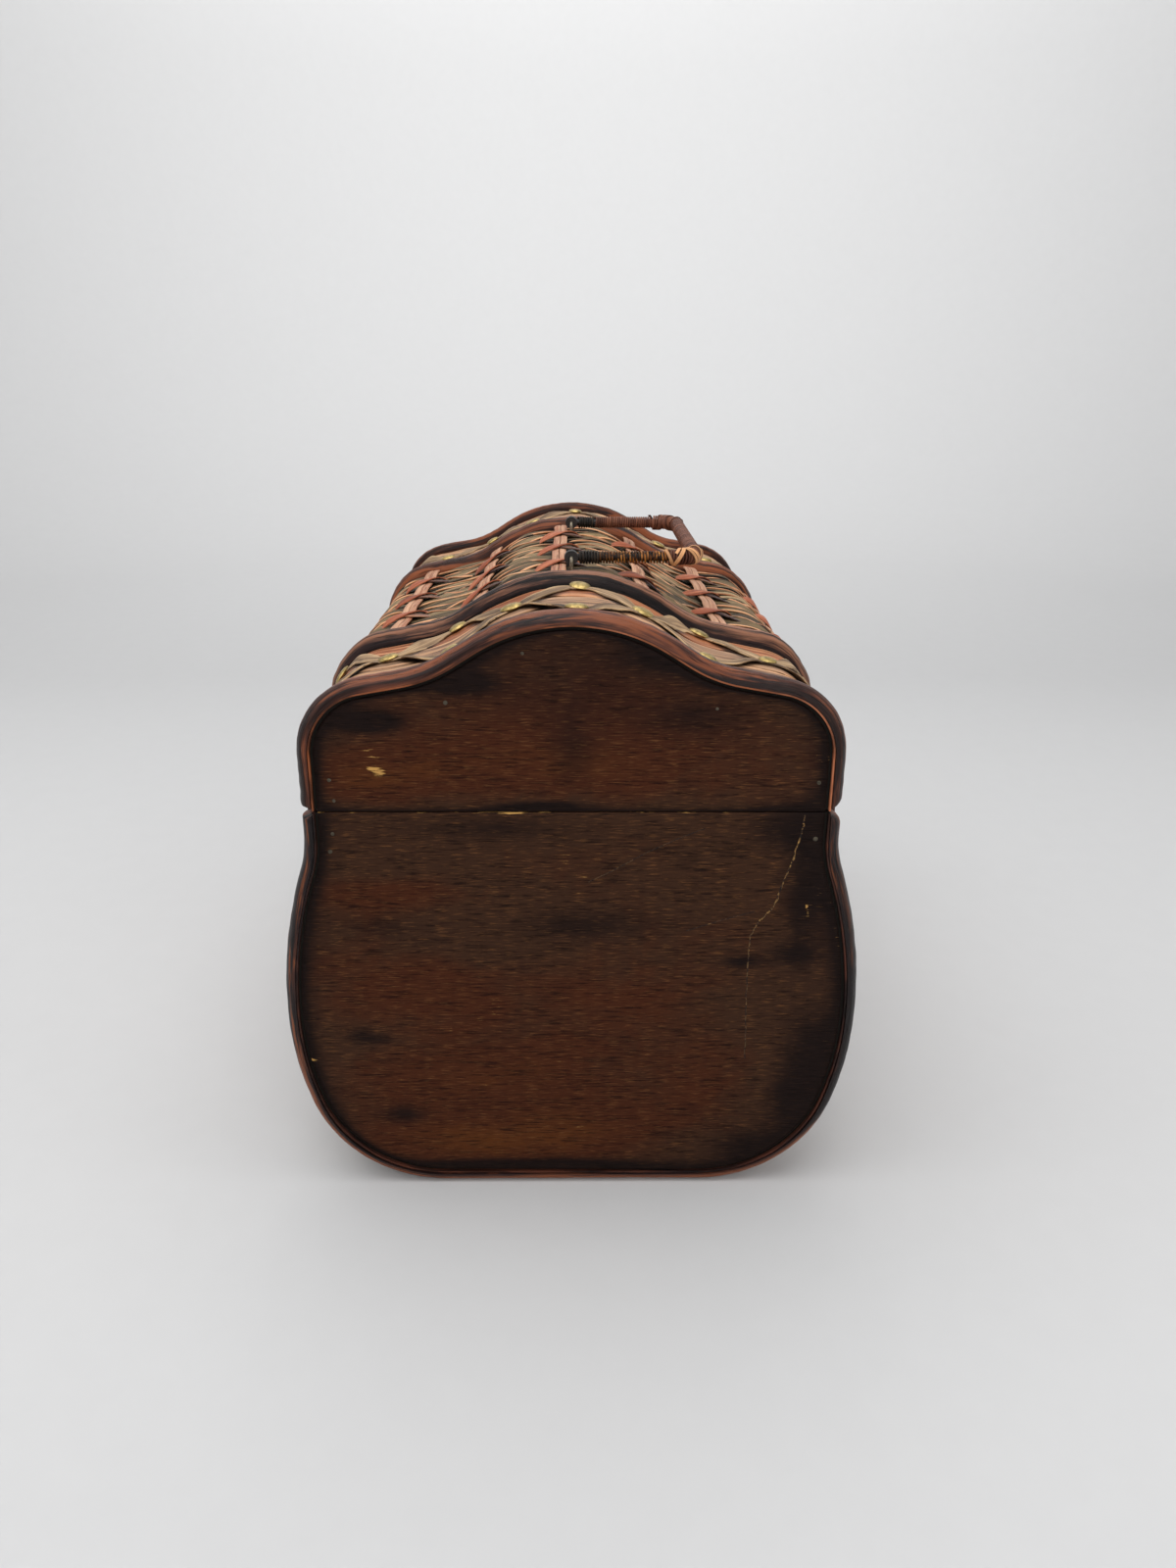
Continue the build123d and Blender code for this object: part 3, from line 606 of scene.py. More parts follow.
def board_finish(colours, name):
    """Stained board: fine level grain with short pale flecks, blackened edges, blotches and worn spots.

    Grain is noise on Object coordinates stretched along Y. The mark layer blackens, shade turns the stain
    from olive over red to gold, and tone wears it through.
    """
    finish = Finish(name, Roughness=0.6, Specular_IOR_Level=0.05)
    space = finish.space()
    grain = finish.noise(finish.stretch(space, (60.0, 105.0, 1500.0)), detail=5.0, roughness=0.65,
                         distortion=0.15)
    flecks = finish.noise(finish.stretch(space, (300.0, 150.0, 2500.0)), detail=3.0, roughness=0.6)
    clouds = finish.noise(finish.stretch(space, (26.0, 22.0, 40.0)), detail=6.0, roughness=0.65,
                          distortion=0.8)
    hue = finish.math("ADD", finish.layer("shade"), finish.math("MULTIPLY_ADD", clouds, 0.9, -0.45))
    colour = finish.mix(finish.band(hue, 0.0, 0.40), colours.board_brown, colours.board_red)
    colour = finish.mix(finish.band(hue, 0.45, 0.95), colour, colours.board_golden)
    ragged = finish.math("MULTIPLY_ADD", finish.math("ADD", clouds, grain), 0.55, -0.55)
    shade = finish.band(finish.math("ADD", finish.layer("mark"), ragged), 0.05, 0.75)
    colour = finish.mix(shade, colour, colours.board_dark)
    colour = finish.mix(finish.math("MULTIPLY", finish.band(grain, 0.52, 0.34), 0.75), colour,
                        dim(colours.board_dark, 0.35))
    lit = finish.math("MULTIPLY", finish.band(flecks, 0.54, 0.70),
                      finish.math("MULTIPLY_ADD", shade, -0.55, 0.62))
    colour = finish.mix(lit, colour, colours.board_fleck)
    torn = finish.math("MULTIPLY_ADD", finish.math("ADD", flecks, clouds), 1.1, -1.1)
    colour = finish.mix(finish.band(finish.math("ADD", finish.layer("tone"), torn), 0.32, 0.46), colour,
                        colours.board_gold)
    rough = finish.math("MULTIPLY_ADD", grain, 0.35, 0.36)
    finish.bump(finish.math("ADD", grain, finish.math("MULTIPLY", flecks, 0.5)), 0.00018)
    return finish.paint(colour, rough)


def board_rows(half):
    """Half widths and heights of a board's rows, from the seam to just before the outline runs level."""
    outline = OUTLINES[half]
    last_s, rows = BOARD_ROWS[half]
    points = outline.place(np.linspace(outline.half, last_s, rows), 0.0, 0.0)
    return points[:, 1], points[:, 2]


def build_board(half, end, material):
    """One end board: rows as wide as the outline, each a loop of front points and two back corners.

    The face drops at its edges by 0.6 mm exp(-e / 0.7 mm), and its colour darkens inwards from them in the same
    way.
    """
    half_widths, heights = board_rows(half)
    side = ENDS[end]
    part = (0.35 * np.sin(np.linspace(-math.pi / 2, math.pi / 2, BOARD_COLUMNS))
            + 0.65 * np.linspace(-1, 1, BOARD_COLUMNS))
    y = half_widths[:, None] * part[None, :]
    z = np.broadcast_to(heights[:, None], y.shape)
    edge = half_widths[:, None] - np.abs(y)
    seam = np.abs(z - (LID_BOTTOM if half == "lid" else BODY_TOP))
    crown = np.abs(heights[:, None] - heights[-1]) + 0.004 + 0.25 * np.abs(y)
    near_edge = np.minimum(np.minimum(edge, crown), 0.05)
    arris = 0.0006 * np.exp(-np.minimum(edge, seam) / 0.0007)
    face = BOARD_FACE - arris
    front = np.stack([side * face, y, z], axis=-1)
    back_x = np.full((len(heights), 2), side * (BOARD_FACE - BOARD_THICKNESS))
    back_y = np.stack([half_widths, -half_widths], axis=-1)
    back = np.stack([back_x, back_y, np.broadcast_to(heights[:, None], back_y.shape)], axis=-1)
    rings = np.concatenate([front, back], axis=1)
    outward_order = side > 0 if half == "lid" else side < 0
    if not outward_order:
        rings = rings[::-1]
    # Darker towards the edges, towards the seam on the lid, and towards the base on the body
    blackening = 0.80 * np.exp(-near_edge / 0.0035) + 0.25 * np.exp(-near_edge / 0.014)
    if half == "body":
        blackening += 0.5 * np.exp(-(z - BODY_BASE) / 0.004)
        worn_arris = 0.34 * np.exp(-seam / 0.0005) * (y < 0.06)
    else:
        blackening += 0.75 * np.exp(-seam / 0.0018)
        worn_arris = 0.0
    mirrored = y if side > 0 else -y
    dark = blackening + spots(mirrored, z, BOARD_DARK_SPOTS)
    warm = spots(mirrored, z, BOARD_WARM_SPOTS)
    hue = 0.45 * spots(mirrored, z, BOARD_RED_SPOTS) + warm
    wear = worn_arris + (spots(mirrored, z, BOARD_WORN_SPOTS) if side > 0 else 0.0) + np.zeros_like(y)
    pad = ((0, 0), (0, 2))
    dark, hue, wear = [np.pad(layer, pad, mode="edge") for layer in (dark - 0.3 * warm, hue, wear)]
    if not outward_order:
        dark, hue, wear = dark[::-1], hue[::-1], wear[::-1]
    piece = Piece(f"{half}_board_{end}", "dark_wood", half)
    piece.add(rings[None], rings[None, ..., 1], rings[None, ..., 2], material,
              wear[None], dark[None], hue[None])
    piece.finish(f"{half}_end_board_{end}", sharp=60.0)


def scratch_boards(colours):
    """Thin pale scratches on the near body board: ragged slivers 0.5 mm wide that hardly stand out."""
    rng = np.random.default_rng(5)
    pale = cane_finish("scratched_wood", colours.board_dark, colours.board_brown, colours.board_gold,
                       gloss=0.6, relief=0.00005, black_share=0.9, patch=(420.0, 900.0))
    piece = Piece("body_board_scratches", "dark_wood", "body")
    for strength, route in zip((1.0, 0.35, 0.25), SCRATCHES):
        route = np.array(route)
        t = np.linspace(0, 1, 120)
        leg = np.linspace(0, 1, len(route))
        y = np.interp(t, leg, route[:, 0]) + 0.00025 * smooth_noise(rng, (), t, waves=8, lowest=6, highest=30)
        z = np.interp(t, leg, route[:, 1])
        centres = np.stack([np.full_like(y, BOARD_FACE + 0.00001), y, z], axis=-1)[None]
        normals = np.broadcast_to((1.0, 0.0, 0.0), centres.shape)
        fade = (strength * (0.35 + 0.65 * np.exp(-((t - 0.35) / 0.35) ** 2)))[None, :, None]
        ragged = smooth_noise(rng, (1,), t, lowest=8, highest=40)[..., None]
        unit_across, unit_lift = rounded_strip(6, 0.8)
        across = (0.00016 + 0.00016 * fade * (1 + 0.6 * ragged)) * unit_across
        rings = carry(centres, normals, across, 0.00005 * unit_lift)
        piece.add(rings, along(centres)[..., None], across, pale, fade - 0.6, fade)
    piece.finish()


class CHEST_OT_boards(bpy.types.Operator):
    """Make the four stained end boards"""
    bl_idname = "chest.boards"
    bl_label = "End boards"

    def execute(self, context):
        material = board_finish(context.scene.chest_colours, "stained_board")
        for half in OUTLINES:
            for end in ENDS:
                build_board(half, end, material)
        scratch_boards(context.scene.chest_colours)
        return {"FINISHED"}


# Rims, hoops and reveal strips

def bent_cane(piece, half, x, base, half_width, height, material, rng, lowest, worn=(0.0, math.pi),
              end_round=0.004, lighter=0.0):
    """Half-round cane bent along an outline, thicker and thinner by a few percent, with long shallow grooves.

    worn is the range of angles round the profile that rubs bare, in radians from one edge over the top to the
    other, and lighter moves the whole cane towards its paler tones. The ends are rounded over end_round.
    """
    outline = OUTLINES[half]
    reach = outline.half - lowest
    count = 260 if half == "lid" else 420
    s = np.linspace(-reach, reach, count)[None]
    if half == "body":
        s = s[:, ::-1]
    from_end = reach - np.abs(s)
    front = outline.place(s, x, base)[..., 1] < 0
    tip = np.clip(from_end / np.where(front, 0.35 * end_round, end_round), 0, 1)
    taper = np.sqrt(np.maximum(1 - (1 - tip) ** 2, 0.03))
    t = np.linspace(0, 1, count)
    unit_across, unit_lift = half_cane()
    swell = 1 + 0.035 * smooth_noise(rng, (1,), t, lowest=3, highest=14)
    dents = 0.02 * smooth_noise(rng, (1,), t, waves=8, lowest=20, highest=60)
    grooves = np.zeros((1, count, len(unit_lift)))
    around = np.arctan2(unit_lift, unit_across)
    for _ in range(5):
        centre = rng.uniform(0.3, 2.8) + 0.10 * smooth_noise(rng, (1,), t, lowest=1, highest=4)
        depth = 0.010 + 0.016 * np.clip(smooth_noise(rng, (1,), t, lowest=2, highest=8), 0, 1)
        grooves -= depth[..., None] * np.exp(-((around - centre[..., None]) / 0.10) ** 2)
    wander = 0.00035 * smooth_noise(rng, (1,), t, lowest=1, highest=4)
    centres = outline.place(s, x + wander, base)
    rise = (height * taper * (swell + dents))[..., None] * unit_lift * (1 + grooves)
    rings = carry(centres, outline.normal(s), half_width * (0.9 + 0.1 * taper)[..., None] * unit_across, rise)
    rings[..., 2] = np.maximum(rings[..., 2], 0.0)
    wander = 0.15 * smooth_noise(rng, (1,), t, lowest=2, highest=9)[..., None]
    mark = np.clip((around - worn[0] + wander) / 0.3, 0, 1) * np.clip((worn[1] - around + wander) / 0.3, 0, 1)
    piece.add(rings, along(centres)[..., None], 0.5 * half_width * around, material,
              lighter + rng.uniform(-0.2, 0.1), np.broadcast_to(mark, rings.shape[:-1]))


class CHEST_OT_rims(bpy.types.Operator):
    """Make the bent rims, the hoops and the thin reveal strips"""
    bl_idname = "chest.rims"
    bl_label = "Rims and hoops"

    def execute(self, context):
        colours = context.scene.chest_colours
        rng = np.random.default_rng(41)
        rim = cane_finish("rim_cane", colours.rim_dark, colours.rim_brown, colours.rim_orange, gloss=0.34,
                          fibre=1300.0, relief=0.00040, edge_wear=0.6, black_share=0.9, patch=(14.0, 260.0))
        dark_rim = cane_finish("rim_cane_dark", colours.hoop_dark, colours.rim_dark, colours.rim_orange,
                               gloss=0.36, fibre=1300.0, relief=0.00030, edge_wear=0.6, black_share=0.6,
                               patch=(9.0, 210.0))
        hoop = cane_finish("hoop_cane", colours.hoop_dark, colours.rim_dark, colours.hoop_light, gloss=0.40,
                           fibre=1300.0, relief=0.00030, edge_wear=0.95, black_share=0.8, patch=(9.0, 300.0),
                           shine=0.12, wear=0.57)
        far_rim = cane_finish("rim_cane_far", colours.rim_dark, colours.rim_brown, colours.rim_orange,
                              gloss=0.38, fibre=1300.0, relief=0.00040, edge_wear=0.55, black_share=0.8,
                              patch=(14.0, 260.0), shine=0.12, wear=0.52)
        reveal = cane_finish("reveal_cane", colours.rim_brown, colours.rim_orange, colours.strap_light,
                             gloss=0.5, black_share=0.7, patch=(30.0, 300.0))
        dark_reveal = cane_finish("reveal_cane_dark", colours.hoop_dark, colours.rim_dark, colours.rim_brown,
                                  gloss=0.5, black_share=0.6, patch=(30.0, 300.0))
        for half in OUTLINES:
            for end, side in ENDS.items():
                rim_piece = Piece(f"{half}_rim_{end}", "bent_cane", half)
                far_lid = half == "lid" and side < 0
                bent_cane(rim_piece, half, side * (HALF_LENGTH - RIM_WIDTH / 2), RIM_BASE, RIM_WIDTH / 2,
                          RIM_HEIGHT, far_rim if far_lid else rim if half == "lid" else dark_rim, rng, 0.0012,
                          lighter=0.25 * far_lid)
                rim_piece.finish(f"{half}_end_rim_{end}")
                hoop_piece = Piece(f"{half}_bent_hoop_{end}", "bent_cane", half)
                worn = (0.0, 2.35) if side > 0 else (0.79, math.pi)
                bent_cane(hoop_piece, half, side * HOOP_X, SKIN, HOOP_WIDTH / 2, HOOP_HEIGHT,
                          far_rim if far_lid else hoop, rng, RAIL_REACH, worn=worn, end_round=0.003,
                          lighter=0.25 * far_lid)
                hoop_piece.finish(f"{half}_hoop_{end}")
                strip = Piece(f"{half}_reveal_{end}", "pale_cane_strip", half)
                outline = OUTLINES[half]
                s = np.linspace(-outline.half + 0.0003, outline.half - 0.0003, 300)[None]
                wave = 0.00018 * smooth_noise(rng, (1,), np.linspace(0, 1, 300), lowest=2, highest=20)
                width = (RIM_WIDTH - 0.0008) / 2
                lay_strips(strip, half, s, side * (HALF_LENGTH - 0.0007 - width) + wave, 0.00165, width,
                           0.00042, reveal if half == "lid" else dark_reveal, tone=0.5, mark=0.6,
                           squareness=0.35)
                strip.finish(f"{half}_reveal_strip_{end}")
        return {"FINISHED"}


# Tacked bands

BAND_LOW = HOOP_X + HOOP_WIDTH / 2
BAND_HIGH = HALF_LENGTH - RIM_WIDTH
WIDE_SPLINTS = 3
TACK_PHASE = 0.003
# Distances of the tacks from the middle of the chest, for even and for odd numbers
TACK_ROWS = {0: (0.0962, 0.1370), 1: (0.1180,)}

# Nails on the boards' faces as (y, z)
LID_NAILS = ((-0.0890, 0.1793), (-0.0877, 0.1712), (-0.0453, 0.2088), (-0.0173, 0.2268), (0.0524, 0.2065),
             (0.0910, 0.1782))
BODY_NAILS = ((-0.0890, 0.1579), (-0.0905, 0.1507), (0.0912, 0.1559))


def tack_places(half, spacing):
    """Tacks of one band as (s, distance from the chest's middle): two rows by turns with a third between."""
    outline = OUTLINES[half]
    reach = outline.half - RAIL_REACH - 0.004
    numbers = np.arange(-20, 21)
    places = TACK_PHASE + spacing * numbers
    return [(s, x) for number, s in zip(numbers, places) if abs(s) < reach for x in TACK_ROWS[number % 2]]


def zigzag_lines(s, spacing):
    """Where the two narrow splints run: a cosine from a tack of the outer rows to one of the middle row."""
    swing = 0.5 - 0.5 * np.cos(math.pi * (s - TACK_PHASE) / spacing)
    inner = TACK_ROWS[0][0] + (TACK_ROWS[1][0] - 0.0014 - TACK_ROWS[0][0]) * swing
    outer = TACK_ROWS[0][1] + (TACK_ROWS[1][0] + 0.0014 - TACK_ROWS[0][1]) * swing
    return inner, outer


def lay_flat_splints(piece, half, side, materials, rng, spacing):
    """Three wide splints that lie flat, narrower between the tacks, which leaves lens-shaped gaps with painted
    shade beside them.
    """
    reach = OUTLINES[half].half - RAIL_REACH
    samples = 240 if half == "lid" else 400
    s = np.linspace(-reach, reach, samples)[None]
    t = np.linspace(0, 1, samples)
    pitch = (BAND_HIGH - BAND_LOW) / WIDE_SPLINTS
    number = np.arange(WIDE_SPLINTS)[:, None]
    pinch = np.sin(math.pi * (s - TACK_PHASE) / spacing) ** 2
    x = BAND_LOW + (number + 0.5) * pitch
    x = x + 0.0006 * smooth_noise(rng, (WIDE_SPLINTS,), t, lowest=2, highest=7)
    narrowing = 0.6 + 0.5 * smooth_noise(rng, (WIDE_SPLINTS,), t, highest=5)
    width = pitch / 2 - 0.0002 - 0.0016 * pinch * narrowing
    tilt = 2.5 * smooth_noise(rng, (WIDE_SPLINTS,), t, lowest=3, highest=9)
    out = 0.0019 + 0.0004 * pinch
    ripple = 0.5 * np.cos(np.linspace(0, math.tau, 40, endpoint=False) * 3)
    edges = np.abs(rounded_strip(40, 0.4)[0]) ** 4 + 0.2 * ripple
    inner, outer = zigzag_lines(s, spacing)
    across = rounded_strip(40, 0.4)[0]
    # Painted shade: dark in the gaps between tacks, the hoop's shadow beside it, and the zigzags' contact shadows
    for row, material in enumerate(materials):
        pick = slice(row, row + 1)
        here = x[pick][..., None] - side * width[pick][..., None] * across
        under = np.minimum(np.abs(here - inner[..., None] - 0.0052), np.abs(here - outer[..., None] - 0.0010))
        ragged = 0.0036 + 0.0016 * smooth_noise(rng, (1,), t, lowest=6, highest=24)[..., None]
        painted_shade = pinch[..., None] ** 0.5 * np.exp(-(under / np.maximum(ragged, 0.001)) ** 4)
        painted_shade = np.maximum(painted_shade, 0.8 * np.exp(-np.maximum(here - BAND_LOW, 0) / 0.0008))
        for line in (inner, outer):
            beside = (np.abs(here - line[..., None]) - 0.0024 - 0.0010 * pinch[..., None]) / 0.0009
            painted_shade = np.maximum(painted_shade, 0.55 * np.exp(-beside ** 2))
        lay_strips(piece, half, s, side * x[pick], out, width[pick], 0.00055, material,
                   roll=side * tilt[pick], tone=rng.uniform(-0.2, 0.5, 1),
                   mark=np.clip(edges, 0, 1)[None, None], points=40, squareness=0.4, shade=painted_shade)


def lay_zigzag_splints(piece, half, side, material, rng, spacing):
    """Two narrow splints that snake between the rows of tacks: flat at a tack, curled up between tacks."""
    reach = OUTLINES[half].half - RAIL_REACH
    samples = 300 if half == "lid" else 500
    s = np.linspace(-reach, reach, samples)[None]
    t = np.linspace(0, 1, samples)
    phase = (s - TACK_PHASE) / spacing
    x = np.concatenate(zigzag_lines(s, spacing)) + 0.0013 * smooth_noise(rng, (2,), t, lowest=4, highest=22)
    free = np.sin(math.pi * phase) ** 2
    width = 0.0020 + (0.0015 + 0.0013 * smooth_noise(rng, (2,), t, lowest=6, highest=22)) * free
    curl = free * (9 + 12 * smooth_noise(rng, (2,), t, lowest=3, highest=12)) * np.array([[1.0], [-1.0]])
    out = 0.0031 + 0.0007 * free + 0.0003 * smooth_noise(rng, (2,), t, lowest=6, highest=20) * free
    edges = np.clip(np.abs(rounded_strip(12, 0.5)[0]) ** 2, 0, 1)
    lay_strips(piece, half, np.broadcast_to(s, x.shape), side * x, out, width, 0.00042, material,
               roll=side * curl, tone=rng.uniform(-0.1, 0.4, 2), mark=edges[None, None], points=12)


# Screen colours of the bands that the panel leaves alone; three together are dark, middle and light
BAND_TAN_DARK = srgb(104, 72, 52)
BAND_ORANGE_DARK = srgb(120, 66, 34)
ZIGZAG_GREY = (srgb(74, 56, 42), srgb(142, 114, 86), srgb(208, 174, 132))


class CHEST_OT_bands(bpy.types.Operator):
    """Make the splints of the tacked bands: three wide ones, and two narrow ones that zigzag over them"""
    bl_idname = "chest.bands"
    bl_label = "Tacked bands"

    def execute(self, context):
        colours = context.scene.chest_colours
        spacing = context.scene.chest_sizes.tack_spacing
        rng = np.random.default_rng(7)
        tan = cane_finish("band_tan", BAND_TAN_DARK, colours.band_tan, colours.reed_light, gloss=0.5,
                          fibre=1800.0, relief=0.0002, edge_wear=0.5, patch=(10.0, 160.0))
        orange = cane_finish("band_orange", BAND_ORANGE_DARK, colours.band_orange, colours.reed_light,
                             fibre=1800.0, relief=0.0002, edge_wear=0.4, patch=(10.0, 160.0))
        grey = cane_finish("band_grey", *ZIGZAG_GREY, gloss=0.55, fibre=2000.0, relief=0.0003, edge_wear=0.9,
                           patch=(30.0, 200.0))
        for half in OUTLINES:
            for end, side in ENDS.items():
                piece = Piece(f"{half}_band_{end}", "splint", half)
                lay_flat_splints(piece, half, side, (orange, tan, tan), rng, spacing)
                lay_zigzag_splints(piece, half, side, grey, rng, spacing)
                piece.finish(f"{half}_band_splints_{end}")
        return {"FINISHED"}


class CHEST_OT_tacks(bpy.types.Operator):
    """Drive the brass tacks into the bands, and the nails into the boards"""
    bl_idname = "chest.tacks"
    bl_label = "Tacks and nails"

    def execute(self, context):
        sizes = context.scene.chest_sizes
        colours = context.scene.chest_colours
        rng = np.random.default_rng(11)
        brass = metal_finish("tack_brass", colours.brass, 0.38, patina=0.75)
        nail = metal_finish("nail_iron", dim(colours.iron, 0.35), 0.6, patina=0.7)
        for half, outline in OUTLINES.items():
            places = np.array(tack_places(half, sizes.tack_spacing))
            count = len(places)
            for end, side in ENDS.items():
                s = places[:, 0] + rng.uniform(-0.001, 0.001, count)
                x = side * places[:, 1] + rng.uniform(-0.0008, 0.0008, count)
                size = sizes.tack_width / 2 * rng.uniform(0.86, 1.06, count)
                piece = Piece(f"{half}_tacks_{end}", "brass", half)
                domes(piece, outline.place(s, x, 0.0037), outline.normal(s), size, 0.30 * size, brass, rng)
                piece.finish()
        piece = Piece("board_nails", "iron_wire", "body")
        lid_piece = Piece("lid_board_nails", "iron_wire", "lid")
        for target, nails in ((piece, BODY_NAILS), (lid_piece, LID_NAILS)):
            for side in ENDS.values():
                places = np.array([(side * (BOARD_FACE - 0.0002), side * y, z) for y, z in nails])
                facing = np.broadcast_to((side, 0.0, 0.0), places.shape)
                size = np.full(len(nails), 0.0010) * rng.uniform(0.8, 1.1, len(nails))
                domes(target, places, facing, size, 0.35 * size, nail, rng)
            target.finish()
        return {"FINISHED"}


def domes(piece, places, facing, size, height, material, rng):
    """Domed heads: rings of radius R cos(a) at height H sin(a) above each place, leaning a few degrees."""
    rise = np.radians([-25.0, 0.0, 25.0, 50.0, 72.0, 86.0])
    lean = unit(facing + rng.normal(0, 0.05, facing.shape))
    centres = places[:, None] + (height[:, None] * np.sin(rise))[..., None] * lean[:, None]
    normals = np.broadcast_to((0.0, 0.0, 1.0), centres.shape) + 0.3 * np.roll(lean, 1, axis=-1)[:, None]
    around = np.arange(14) * math.tau / 14
    radius = (size[:, None] * np.cos(rise))[..., None]
    wobble = 1 + 0.05 * smooth_noise(rng, (len(places),), around / math.tau, lowest=1, highest=3)[:, None]
    rings = carry(centres, normals, radius * wobble * np.cos(around), radius * wobble * np.sin(around))
    piece.add(rings, around * 0.001, rise[None, :, None] * 0.001, material,
              rng.uniform(0, 1, len(places)), np.sin(rise)[None, :, None])


def metal_finish(name, colour, roughness, patina=0.4):
    """Worn metal: bright where rubbed, with brown patina in noise patches on Object coordinates."""
    finish = Finish(name, Metallic=1.0, Roughness=roughness)
    space = finish.space()
    patches = finish.noise(finish.stretch(space, (420.0, 420.0, 420.0)), detail=4.0, roughness=0.65)
    scratches = finish.noise(finish.stretch(space, (900.0, 3000.0, 1500.0)), detail=2.0)
    dull = dim(colour, 0.28)
    share = finish.math("MULTIPLY", finish.band(patches, 0.42, 0.66), patina)
    painted = finish.mix(share, colour, dull)
    painted = finish.mix(finish.math("MULTIPLY", finish.band(scratches, 0.55, 0.75), 0.25), painted,
                         tuple(min(1.0, 1.3 * part) for part in colour))
    rough = finish.math("MULTIPLY_ADD", patches, 0.45, roughness - 0.2)
    finish.bump(finish.math("ADD", patches, finish.math("MULTIPLY", scratches, 0.3)), 0.00008)
    return finish.paint(painted, rough)


# Weave between the hoops

SKIN_CELL_ALONG = 0.0120
SKIN_CELL_ACROSS = 0.0105


def weave_bays(half):
    """Pairs of neighbouring ribs, with the rails' edges as the outermost ones."""
    ribs = rib_places(half)
    edge = OUTLINES[half].half - RAIL_REACH
    starts = np.concatenate([[-edge], ribs])
    ends = np.concatenate([ribs, [edge]])
    return starts, ends


WIDE_SPLINT_COUNT = 14
WIDE_SPLINT_PITCH = 0.0105


def lay_wide_splints(piece, half, material, rng):
    """Wide splints across the chest: under each rib they dip and between ribs they bulge, with painted shade at
    their edges and in the dips.

    The bulge is sin(pi s / pitch) squared.
    """
    count = WIDE_SPLINT_COUNT
    samples = 150 if half == "lid" else 260
    edge = OUTLINES[half].half - RAIL_REACH
    s = np.linspace(-edge, edge, samples)[None]
    t = np.linspace(0, 1, samples)
    x = (np.arange(count)[:, None] - (count - 1) / 2) * WIDE_SPLINT_PITCH
    x = x + 0.0006 * smooth_noise(rng, (count,), t, lowest=1, highest=6)
    bulge = np.sin(math.pi * (s - RIB_OFFSET) / RIB_PITCH) ** 2
    out = 0.0018 + 0.0020 * bulge * rng.uniform(0.75, 1.1, (count, 1))
    width = 0.0040 + 0.0012 * bulge + 0.0003 * smooth_noise(rng, (count,), t, lowest=3, highest=12)
    tilt = rng.uniform(-7, 7, (count, 1)) + 4 * smooth_noise(rng, (count,), t, lowest=2, highest=8)
    edges = np.abs(rounded_strip(18, 0.5)[0])
    # Painted shade along each splint's edges, between neighbours, and where it dips under a rib
    dip = (1 - bulge[..., None]) ** 3
    shade = np.clip(0.9 * edges ** 5 + 0.7 * dip, 0, 1)
    lay_strips(piece, half, np.broadcast_to(s, x.shape), x, out, width, 0.00050, material, roll=tilt,
               tone=rng.uniform(-0.6, 0.7, count), mark=0.3, points=18, squareness=0.5, shade=shade)


# Reeds by their offsets: from the bay's start, from the row, from the bay's end, from the row, bow and bulk
CROSSING_REEDS = ((0.0075, -0.0052, -0.0095, 0.0068, 0.0016, 1.0),
                  (0.0125, 0.0048, -0.0030, -0.0058, -0.0012, 0.85))
BOWED_REEDS = ((0.0005, -0.0040, -0.0005, 0.0044, -0.0022, 0.9),
               (0.0050, 0.0060, -0.0100, 0.0082, 0.0014, 0.7))
SHORTEST_BAY = 0.008


def lay_reeds(piece, half, width, material, rng):
    """Narrow reeds in every bay: some cross at the strap rows, and others bow between the rows.

    Each goes from one end to the other by an eased share e = t t (3 - 2 t), with a bow of sin(pi t) on top.
    """
    starts, ends = weave_bays(half)
    rows = np.array(STRAP_ROWS)
    between = np.append(rows - STRAP_ROW_PITCH / 2, rows[-1] + STRAP_ROW_PITCH / 2)
    t = np.linspace(0, 1, 14)
    routes = []
    for bay_start, bay_end in zip(starts, ends):
        if bay_end - bay_start < SHORTEST_BAY:
            continue
        for places, reeds in ((rows, CROSSING_REEDS), (between, BOWED_REEDS)):
            for row in places:
                routes += [(bay_start + reed[0], row + reed[1], bay_end + reed[2], row + reed[3]) + reed[4:]
                           for reed in reeds]
    routes = np.array(routes)
    routes = routes[np.abs(routes[:, 1]) < WEAVE_HALF - 0.001]
    count = len(routes)
    jitter = rng.normal(0, 0.0009, (count, 2))
    start_s, start_x, end_s, end_x, bow, bulk = [routes[:, column, None] for column in range(6)]
    trim = rng.uniform(0.0, 0.10, (count, 1))
    s = start_s + (end_s - start_s) * (t + (1 - 2 * t) * trim)
    ease = t * t * (3 - 2 * t)
    x = start_x + jitter[:, :1] + (end_x + jitter[:, 1:] - start_x - jitter[:, :1]) * ease
    x = x + bow * rng.uniform(0.4, 1.7, (count, 1)) * np.sin(math.pi * t)
    arch = np.sin(math.pi * t) ** 0.6
    out = 0.0025 + rng.uniform(0.0012, 0.0017, (count, 1)) * arch
    taper = 0.35 + 0.65 * np.sin(math.pi * np.clip(0.06 + 0.88 * t, 0, 1)) ** 0.5
    half_width = width / 2 * bulk * taper * rng.uniform(0.8, 1.2, (count, 1))
    roll = rng.uniform(-10, 12, (count, 1)) * np.sin(math.pi * t)
    top = rounded_strip(6, 0.75)[1]
    # Painted shade on the reeds' undersides, and towards their tips where they tuck under
    tips = 0.8 * (1 - np.clip(np.sin(math.pi * t) * 4, 0, 1))[None, :, None]
    lay_strips(piece, half, s, np.clip(x, -WEAVE_HALF, WEAVE_HALF), out, half_width, 0.00050, material,
               roll=roll, tone=rng.uniform(-0.3, 0.8, count), mark=np.clip(top, 0, 1)[None, None], points=6,
               squareness=0.75, shade=np.maximum(np.clip(-1.2 * top, 0, 0.9), tips))


RIB_STRIP_OFFSET = 0.00168
RIB_STRIP_HALF_WIDTH = 0.00160


